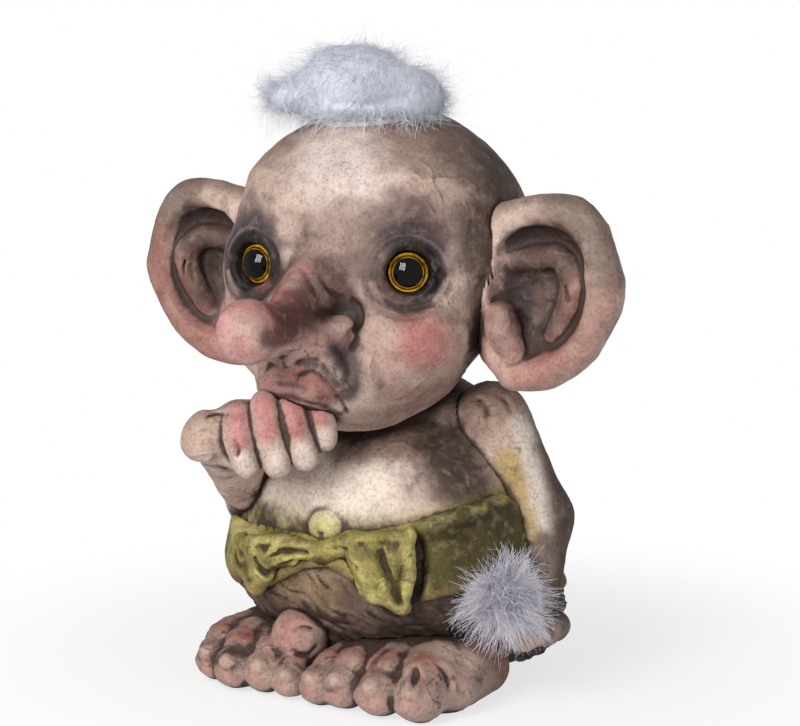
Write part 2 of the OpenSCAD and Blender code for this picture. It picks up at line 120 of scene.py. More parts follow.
def rows(table):
    """the lines of a table written as text, where 1,2,3 is a point and a word stays a word"""
    def cell(word):
        if "," in word:
            return tuple(float(v) for v in word.split(","))
        return float(word) if word[0] in "-.0123456789" else word
    return [[cell(word) for word in line.split()] for line in table.strip().splitlines()]

# %% The block itself
class Clay:
    def __init__(self, low, high, step):
        self.step = step
        self.low = np.floor(np.array(low) / step) * step
        count = np.ceil((np.array(high) - self.low) / step).astype(int) + 1
        self.field = np.full(count, 8.0, np.float32)

    def near(self, low, high):
        """the cells between two corners, and where they lie"""
        first = np.clip(np.floor((low - self.low) / self.step).astype(int), 0, np.array(self.field.shape) - 1)
        last = np.clip(np.ceil((high - self.low) / self.step).astype(int) + 1, first + 1, self.field.shape)
        grid = [(self.low[i] + self.step * np.arange(first[i], last[i])).astype(np.float32) for i in range(3)]
        return tuple(slice(a, b) for a, b in zip(first, last)), np.ix_(*grid)

    def press(self, shape, low, high, soft, cut=False):
        part, grid = self.near(low - soft - 2 * self.step, high + soft + 2 * self.step)
        old, new = self.field[part], shape(*grid).astype(np.float32)
        self.field[part] = -soft_min(-old, new, soft) if cut else soft_min(old, new, soft)

    def lump(self, centre, size, soft=1.0, lean=0.0, cut=False):
        centre, size = np.array(centre, float), np.array(size, float) * np.ones(3)
        reach = size.max() if lean else size
        self.press(lambda x, y, z: egg(x, y, z, centre, size, lean), centre - reach, centre + reach, soft, cut)

    def roll(self, path, sizes, soft=1.0, cut=False, bent=1):
        """a chain of sausages through a path, with a size at each of its points"""
        path = [np.array(p, float) for p in path]
        sizes = [np.array(s, float) * np.ones(3) for s in (sizes if isinstance(sizes, list) else [sizes] * len(path))]
        if bent > 1:
            path, sizes = bend(path, bent), bend(sizes, bent)
        for a, ra, b, rb in zip(path, sizes, path[1:], sizes[1:]):
            low, high = np.minimum(a - ra, b - rb), np.maximum(a + ra, b + rb)
            self.press(lambda x, y, z: sausage(x, y, z, a, ra, b, rb), low, high, soft, cut)

    def flap(self, corners, thick, soft=1.0):
        a, b, c = corners = [np.array(p, float) for p in corners]
        self.press(lambda x, y, z: slab(x, y, z, a, b, c, thick),
                   np.min(corners, axis=0) - thick, np.max(corners, axis=0) + thick, soft)

    def sculpt(self, table, side=1, grow=0.0):
        """lumps and rolls from a table: add or cut, perhaps with bends, softness, then x,y,z and sizes"""
        for what, soft, *points in rows(table):
            places, sizes = [(side * p[0], *p[1:3]) for p in points], [np.array(p[3:]) + grow for p in points]
            if len(points) == 1:
                self.lump(places[0], sizes[0], soft, cut=what[:3] == "cut")
            else:
                self.roll(places, sizes, soft, what[:3] == "cut", int(what[3:] or 1))

    def slice_off(self, keep, soft):
        """cut away everything where keep(x, y, z) is positive"""
        _, grid = self.near(self.low, self.low + 999)
        self.field[:] = -soft_min(-self.field, -keep(*grid) * np.ones_like(self.field), soft)

    def read(self, points):
        """the distances at any points"""
        at = np.clip((np.atleast_2d(points) - self.low) / self.step, 0, np.array(self.field.shape) - 1.001)
        return between(at, lambda i: self.field[tuple(i.T)])

    def land(self, start, way, far=200.0):
        """the first point of the clay met from start along way"""
        way = np.array(way, float) / np.linalg.norm(way)
        line = np.array(start, float) + way * np.arange(0, far, 0.15)[:, None]
        depth = self.read(line)
        inside = np.nonzero(depth < 0)[0]
        return line[inside[0] if len(inside) else int(depth.argmin())]

    def under(self, across, down):
        """the point of the clay under a pixel of the photograph"""
        ray = -toward * pixels_per_turn + right * (across - AIM) - upward * (down - AIM)
        ray = ray / np.linalg.norm(ray)
        return self.land(lens_at + ray * 400, ray, 240)

    def groove(self, pixels, size, soft=0.8, out=0.5, cut=True, ends=0.45):
        """a crease, or a ridge if cut is false, drawn along pixels of the photograph, thin at both ends"""
        path = [self.under(*p) + toward * size * out for p in pixels]
        sizes = [size * (ends if k in (0, len(path) - 1) else 1.0) for k in range(len(path))]
        self.roll(path, sizes, soft, cut, 4)

    def grooves(self, table):
        """creases from a table of size, softness, perhaps how far out, then pixels"""
        for row in rows(table):
            self.groove([v for v in row if isinstance(v, tuple)], *[v for v in row if isinstance(v, float)])

def between(at, value, soften=False):
    """the value at points between the corners of a lattice"""
    i = np.floor(at).astype(int); t = at - i
    if soften:
        t = t * t * (3 - 2 * t)
    total = 0
    for corner in range(8):
        c = np.array([corner & 1, corner >> 1 & 1, corner >> 2])
        total = total + np.prod(np.where(c, t, 1 - t), axis=1) * value(i + c)
    return total

# %% [markdown]
# ## Trunk
# The trunk is the largest casting: a narrow chest sunk between the shoulders, a round belly, wide hips and
# a rump to sit on. Big lumps with very soft corners give it, because the real one shows no edge between
# chest and belly. The underside is cut flat and hollowed for the round board.

# %% Trunk casting
def trunk_lumps(clay, grow=0.0):
    clay.sculpt("""
        add 4  0,5,54,26.5,17,14  0,0,38,33,25,23
        add 4  0,0,38,33,25,23  0,-1,25,35.5,27,20
        add 6  -24.5,12,15,12.5  -22,2,26,14
        add 6  24.5,12,15,12.5  22,2,26,14
        add 8  0,24,15,10  0,14,28,14
        add 5  -14,14,13,14,18,11  14,14,13,14,18,11""", grow=grow)

def from_board(x, y):
    """distance from the axis of the round board"""
    return np.sqrt(x * x + (y - BELLY_BACK) ** 2)

trunk = Clay((-42, -36, -2), (42, 42, 74), 0.52)
wrapped = Clay((-42, -36, 2), (42, 42, 60), 0.45)        # the trunk grown by the nappy's thickness
trunk_lumps(trunk)
trunk_lumps(wrapped, 1.9)
trunk.sculpt("add 4  -12,-11,15,10  12,-11,15,10")
trunk.press(lambda x, y, z: np.maximum(from_board(x, y) - 20 - 4 * np.clip((z - 4) / 6, 0, 1), z - 16),
            np.array([-26, -16, -2.0]), np.array([26, 36, 18.0]), 1.0)
trunk.slice_off(lambda x, y, z: 1.0 - z, 1.0)
trunk.press(lambda x, y, z: np.maximum(from_board(x, y) - 17.2, z - 4.2),
            np.array([-18, -8, -2.0]), np.array([18, 28, 5.0]), 0.05, cut=True)
print("trunk block", trunk.field.shape)

# %% [markdown]
# ## Head
# The skull is one big egg that runs down into the jaw, with a cheek on each side. The nose is a chain of
# lumps that ends in a ball. Sockets are scooped with a shallow egg round each eye and a deeper one right
# behind the glass, and thin rolls pressed along the rim make the lids. Creases are drawn along the lines
# of the photograph.

# %% Skull, jaw and nose
head = Clay((-37, -62, 48), (37, 36, 129), 0.51)
head.sculpt("add 3  0,0,93,33,32.5,32.5  0,-11,74,25,21,16.5")
for side in (-1, 1):
    head.sculpt("add 5  16.5,-17.5,79,12,11,10.5  9,-5,93,24,26,26", side)
head.sculpt("""
    add 5    -19,-16.5,91,10.5,9,11
    add 3    0,-24.5,87.5,7.2,8.5,10.5  0,-38,82.6,5,6.4,6.2
    add 2    0,-38,82.4,5.4  -.6,-46,81.6,5.6
    add 1.2  -.8,-51,81.6,6.4,6.3,6.8""")
for side in (-1, 1):
    head.sculpt("""
        add 2    1.5,-37.2,78,4.8  7.4,-33,79.4,3.8
        add 1.6  9.8,-32.4,81,2.7,2.9,2.7""", side)
head.sculpt("""
    add 4    0,-27,70,14,11,9
    add 5    3,-19,64.5,13,9,7
    add 1.5  -6,-35.5,68.2,3  6,-35.5,68.2,3
    add 1.5  -7,-34,74.6,3.2  0,-36.5,75.4,3.2  7,-34,74.6,3.2""")

# %% Eye sockets and lids
EYE_HALF = 4.5                         # mm, half the width of a glass eye
EYE_PLACES = {"right": ((-17.7, -26.4, 92.0), -6), "left": ((20.3, -23.8, 92.0), 28)}
eyes = {}
for name, (centre, turned) in EYE_PLACES.items():
    centre, lean = np.array(centre), math.radians(turned)
    out = np.array([math.sin(lean), -math.cos(lean), 0])
    across = np.array([math.cos(lean), math.sin(lean), 0])
    eyes[name] = (centre, out, across)

    def flare(x, y, z):
        """a cone that opens from the glass outwards"""
        dx, dy, dz = x - centre[0], y - centre[1], z - centre[2]
        ahead = dx * out[0] + dy * out[1]
        aside = np.sqrt((dx * across[0] + dy * across[1]) ** 2 + dz ** 2)
        return np.maximum((aside - 5.4 - 0.80 * (ahead + 2)) * 0.78, -2.2 - ahead)

    head.press(flare, centre - 15, centre + 15, 2.6, cut=True)
    head.lump(centre + out * 1.6, (9.2, 3.6, 8.4), 2.4, lean, cut=True)
    lids = [centre + across * 5.7 * math.cos(a) + np.array([0, 0, 5.6 * math.sin(a)]) - out * 1.7
            for a in np.linspace(0, 2 * math.pi, 25)]
    head.roll(lids, 0.55, 1.2)
    head.press(lambda x, y, z: np.maximum(egg(x, y, z, centre, (EYE_HALF + 0.2, 9, EYE_HALF + 0.2), lean),
                                          (x - centre[0]) * -out[0] + (y - centre[1]) * -out[1] - 3.7),
               centre - 10, centre + 10, 0.1, cut=True)
print("head block", head.field.shape)

# %% Creases of the face
for size, soft, *pixels in rows("""
        .7 1    353,300 360,312 358,325 350,334
        .4 .7   432,272 440,276 448,275"""):
    path = [head.under(*p) + toward * size * 0.4 for p in pixels]
    for way in (1, -1):
        head.roll([p * (way, 1, 1) for p in path], size, soft, cut=True, bent=3)
for side in (-1, 1):
    head.sculpt("cut .8  5.6,-41.5,74.6,1.5,1.9,1.2  7.4,-38.5,75,1.5,1.9,1.2", side)
head.grooves("""
    .35 1   302,268 312,282 318,296
    .35 1   322,278 330,290 342,298
    .6 .8   266,364 282,358 300,352 318,346 330,343
    .5 .6   262,376 268,366 276,366 284,358 296,360
    .65 .8  290,368 304,361 320,363 334,373 343,386
    .5 .7   298,376 312,371 326,379 336,392
    .75 1   332,346 342,356 349,370 345,386
    .55 .8  336,394 343,404 347,414
    .4 .6   308,352 322,354 338,364""")

# %% [markdown]
# ## Ears
# Each ear is a thick rolled rim round a hollow shell, with folds of cartilage inside. A chain of rolls
# follows the rim, thin flaps close the shell behind it, an egg scoops the hollow, and finer rolls and
# creases make the folds. The left ear is the one that the photograph shows from the front.

# %% Ear castings
RIM = [(33, 102.5), (41, 104), (48.5, 104), (53, 99.5), (56, 90), (55.4, 85), (50.4, 76.8), (43, 71.4), (35, 70)]

def ear_clay(side):
    ear = Clay((26, -17, 62), (61, 8, 110), 0.42)
    ear.roll([(x, -5.0, z) for x, z in RIM], [3.4, 3.6, 3.6, 3.7, 3.8, 3.8, 3.8, 3.7, 3.5], 1.0, bent=4)
    for (x0, z0), (x1, z1) in zip(RIM, RIM[1:] + RIM[:1]):
        ear.flap([(x0, -3.4, z0), (x1, -3.4, z1), (41, -1.4, 87)], 2.6, 2.0)
    # root, hollow, then the fold of cartilage with its wrinkled top and the flap before the ear hole
    ear.sculpt("""
        add 3     28,-.5,98,5  29,-1.5,87,7  30,-.5,75,5.4
        add 3     33,-5.5,100,3.4  31,-5.5,88,3.4  32,-6,74,3.2
        cut 2.2   41.6,-8.4,87.2,10.6,5,12.4
        cut 2.2   44.6,-8.6,95,7.6,4.6,6.2
        cut3 1.6  36,-8.2,90.5,2.2  36.4,-7.6,85,2.8  38,-8.2,79,1.8
        cut3 1.6  34,-7.6,96,1.2  38,-6.6,98.4,1.7  43,-6.2,99.4,1.6  48,-7,98,1
        add3 2.6  35.5,-5.2,93.6,.7  40,-4.4,94.6,1  45.5,-4.8,95,1.4  49.2,-5.4,91,1.7  48,-5.6,85,1.5  44,-5.2,79,.9
        add3 2.2  34,-7.8,83.5,2  34.2,-8.2,79.5,2.4  36.5,-7.6,75,1.6
        cut3 .8   52,-7.6,88,.5  50.8,-7.9,83,.5  47.4,-7.9,78,.5  42.6,-7.9,74.8,.5
        cut3 .7   46.2,-7.2,90.6,.4  46.9,-7.5,87.5,.4  45.9,-7.5,85,.4
        cut .7    48.6,-7.4,89.6,.4  49.2,-7.6,86.6,.4""")
    if side < 0:
        ear.field = ear.field[::-1].copy()
        ear.low[0] = -(ear.low[0] + ear.step * (ear.field.shape[0] - 1))
    return ear

ear_left, ear_right = ear_clay(1), ear_clay(-1)
print("ear block", ear_left.field.shape)

# %% [markdown]
# ## Arms and hands
# The right arm folds up so that the fist rests at the mouth, and the left arm hangs with its hand at the
# hip. A tapered chain of rolls makes each arm. Every finger is its own chain of three joints with almost
# no softness, so the gaps between the fingers stay sharp and take the dark paint and painted shade later.

# %% Right arm with the fist
arm_right = Clay((-42, -53, 24), (10, 14, 72), 0.4)
arm_right.sculpt("""
    add 2.5  -25,2,58,8.55  -31,-3,36.5,8.05  -25.5,-17,44,6.65  -18.5,-37,55.5,5.8
    add 2    -17.6,-42,57.4,4.9,4.9,5.6
    add 1.6  -19.4,-44.2,56.6,2.8,2.8,3.8
    add 2    -12,-38,57.5,7,5.5,7.5  -1,-32,58.5,5.4,5,7""")
FINGERS = rows("""
    1.0   -10.5,-40.5,62.2  -8.9,-42.4,57.3  -8.2,-40.8,52
    1.0   -5.6,-38,64.6     -3.6,-39.6,59.1  -2.8,-37.8,52
    0.95  -1.2,-35.2,65.2   .9,-36,60        2,-34.4,53.4
    0.85  2.4,-32,64.4      4.4,-32.2,61     4.6,-31,57""")
for stout, *joints in FINGERS:
    arm_right.roll(joints, [3.1 * stout, 3.3 * stout, 2.9 * stout], 0.6, bent=4)
arm_right.grooves("""
    .4 1  232,438 238,448 236,458
    .4 1  205,417 216,412 228,414""")

# %% Left arm with the hanging hand
arm_left = Clay((14, -24, 6), (45, 16, 70), 0.42)
arm_left.sculpt("""
    add 3    24.5,4,57.5,8.6  33.6,6.5,37,8.2  36,2,23,6.4
    add 2.5  34.8,-3.5,19.5,4.8,6.4,5.4""")
for i in range(3):
    arm_left.roll([(34.8, -0.6 - 4.2 * i, 19), (34.2, -1.6 - 4.3 * i, 15.6)], [2.8, 2.6], 1.2)
arm_left.grooves("""
    .5 1.2  476,398 484,404 488,416
    .4 1    500,396 508,402 510,410""")
print("arm blocks", arm_right.field.shape, arm_left.field.shape)

# %% [markdown]
# ## Feet
# Two broad feet point forward and meet in the middle. A soft wedge makes each foot. The toes are separate
# round rolls with a knuckle above and a pad below, and the nail of each is a hard button set into its
# tip. One big toe stands up as a ball, as the photograph shows.

# %% Foot castings
LEFT_TOES = [((3.6, -31, 4.6), 4.4), ((9.6, -30.6, 4.9), 4.9), ((18.6, -31.2, 5.1), 5.2), ((27.4, -30.4, 5.2), 5.4)]
RIGHT_TOES = [((-4.6, -30.6, 4.2), 3.7), ((-11.4, -29.6, 4.9), 4.8), ((-18.6, -30.4, 5.0), 5.0), ((-26, -27, 5.0), 4.9)]

def foot_clay(side, toes, low, high):
    foot = Clay(low, high, 0.4)
    foot.sculpt("add 2  18,-22,6,13,8,7.5  19,-2,7.5,12.5,10,9", side)
    for (x, y, z), size in toes:
        root = (side * 18 + (x - side * 18) * 0.75, y * 0.35 - 8, 8)
        toe_way = np.array([x - root[0], y - root[1]]) / math.hypot(x - root[0], y - root[1])
        ahead = lambda far, up: (*(np.array([x, y]) + toe_way * far), z + up)
        foot.roll([root, (x, y, z)], [size * 0.98, size], 2.2)
        foot.lump(ahead(-2.2, size * 0.78), (size * 0.84, size * 0.84, size * 0.66), 0.9)
        foot.lump(ahead(0.6, -0.8), (size * 0.98, size, size * 0.74), 0.8)
        foot.lump(ahead(size * 0.72, size * 0.34), (size * 0.44, size * 0.44, size * 0.40), 0.5)
        for share in (0.35, 0.62):
            spot = np.array(root) + (np.array([x, y, z]) - root) * share
            foot.lump((spot[0] + 1.2 * toe_way[1], spot[1], spot[2] + size * 0.72),
                      (size * 0.7, size * 0.75, size * 0.5), 1.4)
    return foot

foot_left = foot_clay(1, LEFT_TOES, (-1, -40, -2), (40, 12, 20))
foot_right = foot_clay(-1, RIGHT_TOES, (-38, -40, -2), (4, 12, 22))
foot_right.sculpt("add 1.2  -12,-16,9,6  -6,-24.5,12,6.2")
foot_left.sculpt("""
    add 3    30,-22,6,5.6  29,-8,6.5,6
    add 1.8  28.6,-23.5,9.6,3.6,3.8,3""")
foot_left.grooves("""
    .8 .8 .2  413,664 414,676 411,688
    .5 1.2    438,664 447,674 449,688""")
foot_right.grooves("""
    .4 .8   288,640 294,652 308,654 317,644
    .35 .8  292,629 302,625 313,628""")
for foot in (foot_left, foot_right):
    foot.slice_off(lambda x, y, z: -z, 0.6)
    foot.press(lambda x, y, z: from_board(x, y) - 20.2, np.array([-21, -12, -2.0]), np.array([21, 32, 30.0]),
               0.3, cut=True)
print("foot blocks", foot_left.field.shape, foot_right.field.shape)

# %% [markdown]
# ## Nappy and bow
# The nappy is moulded as a cloth wound round the hips and tied in front. It is the trunk grown by its
# thickness and trimmed by a slanting upper edge and a wavy lower one. The bow is made of flaps between
# corners that stand on the nappy, with deep creases where the cloth turns under.

# %% Nappy wrap
nappy = Clay((-42, -36, 12), (42, 42, 52), wrapped.step)
offset = np.round((nappy.low - wrapped.low) / wrapped.step).astype(int)
grown = wrapped.field[tuple(slice(o, o + n) for o, n in zip(offset, nappy.field.shape))]
nappy.field[tuple(slice(n) for n in grown.shape)] = grown
TILT = math.tan(math.radians(15))

def edge(pixels, behind):
    """the height of an edge at each angle round the hips, from pixels in front and a rule behind"""
    seen_at = [wrapped.under(*p) for p in pixels]
    table = [(math.atan2(p[0], -p[1]), p[2]) for p in seen_at]
    first, last = min(table)[0], max(table)[0]
    table += [(a, behind(a)) for a in np.linspace(-math.pi, math.pi, 41) if a < first - 0.15 or a > last + 0.15]
    angles, heights = np.array(sorted(table)).T
    return lambda x, y: np.interp(np.arctan2(x, -y), angles, heights)

top, low = (edge(*rows(pixels), behind) for pixels, behind in (
    ("229,512 240,521 262,525 300,534 327,540 352,534 395,527 450,514 500,498",
     lambda a: 34.5 + TILT * (27 - 27 * math.cos(a))),
    ("240,572 257,592 276,582 300,570 326,568 352,584 380,602 405,608 440,600 480,590", lambda a: 19.5)))
nappy.slice_off(lambda x, y, z: (z - top(x, y)) * 0.95, 1.7)
nappy.slice_off(lambda x, y, z: (low(x, y) - z) * 0.9, 2.2)

# %% Bow on the nappy
def cloth(across, down, out):
    """a corner of cloth over a pixel of the photograph, standing out from the nappy"""
    return nappy.under(across, down) + toward * out

bow = Clay((-34, -38, 12), (30, -6, 46), 0.36)
bow.lump(cloth(318, 551, 0.0), (3.2, 2.0, 2.4), 1.2)
for thick, *corners in rows("""
        1.3  322,552,1.2  352,540,2.4  334,572,1.2
        1.4  352,540,2.4  408,536,2.6  376,592,2
        1.3  352,540,2.4  376,592,2    334,572,1.2
        1.3  408,536,2.6  402,606,1.6  376,592,2
        1.3  316,553,1.2  284,541,2.2  290,556,1.8
        1.4  284,541,2.2  243,541,2    268,560,2
        1.3  243,541,2    256,586,1.5  268,572,2
        1.2  243,541,2    240,562,1.2  256,586,1.5
        1.2  262,568,2.4  291,556,2.8  266,558,2.6"""):
    bow.flap([cloth(*c) for c in corners], thick + 0.4, 1.4)
    bow.flap([cloth(a, d, out * 0.35) for a, d, out in corners], thick, 1.4)
for what, soft, size, *path in rows("""
        add 1.0 1.0   320,549,1.4 336,542,2.6 356,537,3.2 384,535,3.2 406,537,2.8
        add 1.0 1.1   405,540,3 409,560,2.8 407,584,2.4 402,604,1.8
        add 1.0 1.1   314,550,1.4 296,542,2.6 270,538,2.8 246,541,2.4
        add 1.0 1.0   243,543,2.4 239,556,1.8 246,572,1.9 256,585,1.6
        cut 0.8 1.0   379,551,4.4 384,566,4 392,584,3.4 398,602,2.8
        cut 0.8 0.65  256,557,3.8 262,566,3.8 270,576,3.2
        cut 0.8 0.7   293,560,3 282,567,3 271,575,3
        cut 0.8 0.5   326,556,3 340,560,3.6 356,566,3.8
        cut 0.8 0.45  330,549,3.6 346,547,4
        cut 0.8 0.5   308,552,3 296,550,3.6 280,549,3.8"""):
    bow.roll([cloth(*p) for p in path], size, soft, what == "cut", 3)
nappy.grooves("""
    1.3 1.5 .2  414,530 418,552 417,580 409,606
    .6 1        236,523 262,526 292,536 310,545""")
nappy.groove([(420, 529), (450, 520), (480, 509), (504, 500)], 1.0, 2.0, -0.1, cut=False, ends=0.6)
nappy.grooves(".3 1.2  430,542 452,538 470,540")
print("nappy and bow blocks", nappy.field.shape, bow.field.shape)

# %% Navel and the hip crease on the trunk, and the tail
navel = trunk.land((1.4, -60, 36.6), (0, 1, 0))
trunk.lump(navel + (0, 0.3, 0), (4.2, 1.8, 4.0), 0.8)
trunk.roll([navel + (1.9 * math.cos(a) * f, -1.45, 1.8 * math.sin(a) * f)
            for a, f in zip(np.linspace(0.3, 5.4, 10), np.linspace(1.2, 0.2, 10))], 0.42, 0.5, cut=True)
trunk.grooves(".6 1.2  229,512 236,498 243,484")
tail = Clay((8, -24, 0), (46, 38, 24), 0.4)
tail.sculpt("add 1.5  16,31,9,3.5  26,26,9,3.4  33.5,17,10.5,3.2  37,6,12,3  38,-5,13.5,2.8  37.5,-12,17.5,2.5")

# %% [markdown]
# ## Seams
# The castings are glued together, so no two may share the same clay. Each block reads its neighbours'
# distances at its own cells, and everything closer than the seam is cut away.

# %% Cut the seams
def spread(clay, onto):
    """a block's distances read at the cells of another block"""
    out = clay.field
    for axis in range(3):
        at = (onto.low[axis] + onto.step * np.arange(onto.field.shape[axis]) - clay.low[axis]) / clay.step
        last = clay.field.shape[axis] - 1
        beyond = np.maximum(0, np.maximum(-at, at - last)) * clay.step
        at = np.clip(at, 0, last - 1e-3); i = at.astype(int)
        t = (at - i).reshape([-1 if k == axis else 1 for k in range(3)]).astype(np.float32)
        far = beyond.reshape(t.shape).astype(np.float32)
        out = np.take(out, i, axis) * (1 - t) + np.take(out, i + 1, axis) * t + far
    return out

SEAM = 0.12                            # mm between two castings
def seam(clay, *others, gap=SEAM):
    for other in others:
        clay.field = np.maximum(clay.field, gap - spread(other, clay)).astype(np.float32)

seam(trunk, head, arm_right, arm_left, foot_right, foot_left, tail)
for clay in (arm_right, arm_left, ear_left, ear_right):
    seam(clay, head)
seam(nappy, trunk, arm_right, arm_left, bow, foot_left, foot_right)
seam(bow, trunk)
seam(foot_left, foot_right)
seam(tail, foot_left, arm_left, nappy)
print("seams cut at", SEAM, "mm")

# %% [markdown]
# ## How dark paint and painted shade gather
# A thin dark paint is brushed over the whole figure and wiped off, so it stays in every hollow, and the same darkening
# is also painted shade where shade falls: in wide hollows, in the seams between castings and where the figure meets the
# floor. Counting how much clay lies round a point finds the hollows: half of a flat surface's surroundings are clay,
# and more than half in a crease. The count is a blur of the filled cells, made once fine for each block and
# once coarse over the whole figure, which also finds the seams and spreads painted shade over wide hollows.

# %% Count the clay round each point
def blur(cells, reach):
    for _ in range(2):
        for axis in range(3):
            pad = [(reach + 1, reach) if k == axis else (0, 0) for k in range(3)]
            run = np.cumsum(np.pad(cells, pad, mode="edge"), axis=axis, dtype=np.float64)
            here, wide = np.arange(cells.shape[axis]), 2 * reach + 1
            cells = ((np.take(run, here + wide, axis) - np.take(run, here, axis)) / wide).astype(np.float32)
    return cells

def counted(clay, field, reach):
    """a block whose cells say how much of their surroundings is clay"""
    count = Clay((0, 0, 0), (1, 1, 1), clay.step)
    count.low, count.field = clay.low, blur(np.clip(0.5 - field / clay.step, 0, 1).astype(np.float32), reach)
    return count

castings = {"body": trunk, "head": head, "ear_left": ear_left, "ear_right": ear_right, "arm_right": arm_right,
            "arm_left": arm_left, "foot_left": foot_left, "foot_right": foot_right, "nappy": nappy,
            "nappy_bow": bow, "tail": tail}
whole = Clay((-62, -64, -6), (62, 44, 132), 0.9)
for clay in castings.values():
    whole.field = np.minimum(whole.field, spread(clay, whole))
whole.field[:, :, :int(-whole.low[2] / whole.step)] = -1.0       # the floor counts as clay
coarse = counted(whole, whole.field, 3)

# %% [markdown]
# ## Small unevenness
# Hand-made clay is never smooth. A lattice of fixed random numbers, read with soft steps between them,
# moves each point a little along its normal. The same noise, stretched along one direction, carves the
# fine hairs under the nappy.

# %% Lattice noise
def clamp01(v):
    v = np.clip(v, 0, 1)
    return v * v * (3 - 2 * v)

def noise(points, size, seed):
    table = np.random.default_rng(seed).uniform(-1, 1, (32, 32, 32))
    return between(points / (np.array(size, float) * np.ones(3)) + 1000.5, lambda i: table[tuple((i % 32).T)], True)

def thread(points, size, seed, thin=0.10):
    """1 along thin wandering lines, 0 elsewhere: where the noise passes through zero"""
    return clamp01(1 - np.abs(noise(points, size, seed)) / thin)

def from_path(points, path):
    """distance of each point from a path"""
    path, near = [np.array(p, float) for p in path], np.full(len(points), 1e9)
    for a, b in zip(path, path[1:] or path):
        run = b - a
        t = np.clip((points - a) @ run / max(run @ run, 1e-9), 0, 1)
        near = np.minimum(near, np.linalg.norm(points - a - t[:, None] * run, axis=1))
    return near

def rough(points, seed):
    return 0.16 * noise(points, 7, seed) + 0.10 * noise(points, 3, seed + 1) + 0.05 * noise(points, 1.3, seed + 2)

# %% [markdown]
# ## From block to mesh
# The surface where the distance is zero becomes a mesh of small quads. It is moved to the model's frame,
# in metres, and given layers for the paint: a colour, the darkening of the hollows (dark paint and painted shade), or
# the place along a hair.

# %% Cast a block
import openvdb

def tone(code):
    """a written colour as the linear numbers that Blender uses, or such numbers as they are"""
    if not isinstance(code, str):
        return np.array(code)
    parts = [int(code[k:k + 2], 16) / 255 for k in (1, 3, 5)]
    return np.array([v / 12.92 if v < 0.04045 else ((v + 0.055) / 1.055) ** 2.4 for v in parts])

def surface(clay):
    """the points and faces where the distance is zero"""
    grid = openvdb.FloatGrid(8.0)
    grid.copyFromArray(np.ascontiguousarray(clay.field, dtype=np.float32))
    grid.transform = openvdb.createLinearTransform(voxelSize=clay.step)
    points, *faces = grid.convertToPolygons(isovalue=0.0)
    return points.astype(float) + clay.low, [tuple(f[::-1]) for part in faces for f in part.tolist()]

def in_metres(points):
    return (np.array(points, float) - (0, BELLY_BACK, 0)) / 1000

def placed(name, data):
    made = bpy.data.objects.new(name, data)
    bpy.context.scene.collection.objects.link(made)
    return made

def make_mesh(name, points, faces):
    mesh = bpy.data.meshes.new(name)
    mesh.from_pydata(in_metres(points).tolist(), [], faces)
    mesh.update()
    mesh.shade_smooth()
    return placed(name, mesh)

def normals(piece):
    flat = np.empty(len(piece.data.vertices) * 3, np.float32)
    piece.data.vertex_normals.foreach_get("vector", flat)
    return flat.reshape(-1, 3)

def mark(piece, name, values):
    """write a number, or a colour, on every point of a mesh"""
    values = np.array(values, np.float32)
    kind, key = ("FLOAT_COLOR", "color") if values.ndim == 2 else ("FLOAT", "value")
    piece.data.attributes.new(name, kind, "POINT").data.foreach_set(key, values.ravel())

def hand_over(piece, node, slot, material=None):
    """the piece rides the one body and stands for a node of the model; slot is not used"""
    if material:
        piece.data.materials.append(material)
    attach(piece, "root")
    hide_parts(node)
    print(piece.name, sum(len(f.vertices) - 2 for f in piece.data.polygons), "triangles")

# %% [markdown]
# ## Sprays of paint
# The figure is painted with an airbrush over a pale skin tone. Some of the colour is painted light and shade: paler
# tops, raised parts and lit fronts, and darker undersides, sockets, folds and gaps where shade falls. A spray here is a
# path of points with a
# size in millimetres: the colour is full at the path and fades to nothing at the size. The tables give
# the colour, the size, the strength, sometimes how much of the size is full, then places on the figure,
# or pixels of the photograph.

# %% Airbrush
class Paint:
    def __init__(self, clay, points, normal, proud, colour):
        self.clay, self.points, self.proud = clay, points, proud
        self.x, self.y, self.z = points.T
        self.up = normal[:, 2]
        self.colour = np.tile(tone(colour), (len(points), 1))

    def mix(self, colour, share):
        share = np.clip(share, 0, 1)[:, None] if np.ndim(share) else share
        self.colour = self.colour * (1 - share) + tone(colour) * share

    def patches(self, colour, share, size, seed, low=0.0, steep=1.5):
        self.mix(colour, share * clamp01(noise(self.points, size, seed) * steep - low))

    def spray(self, colour, path, size, amount=1.0, core=0.3):
        near = from_path(self.points, path) * (1 + 0.18 * noise(self.points, 2.4, 5))
        self.mix(colour, amount * clamp01((size - near) / (size * (1 - core))))

    def sprays(self, table, way=1):
        for colour, *row in rows(table):
            path = [np.array(v) if len(v) == 3 else self.clay.under(*v) for v in row if isinstance(v, tuple)]
            self.spray(colour, [v * (way, 1, 1) for v in path], *[v for v in row if isinstance(v, float)])

# %% Paint plans, one for each casting
def paint_skin(p, name):
    # painted light: paler on faces that look up
    p.mix("#CDB9AD", 0.4 * clamp01((p.up + 0.1) * 1.2))
    p.patches("#A98C7E", 0.45, 11, 11)
    p.patches("#B1857A", 0.35, 7, 13)
    p.patches("#8E7164", 0.45, 3.5, 12, 0.2, 1.6)
    # darker towards the back: partly brown paint, partly painted shade
    p.mix("#5E4C40", 0.80 * clamp01((p.y + 6) / 24))
    # painted shade: darker on faces that look down
    p.mix("#6A5246", 0.60 * clamp01((-p.up - 0.1) * 1.4))
    # painted highlight: paler on raised parts
    p.mix("#E0D2C8", 0.35 * p.proud)

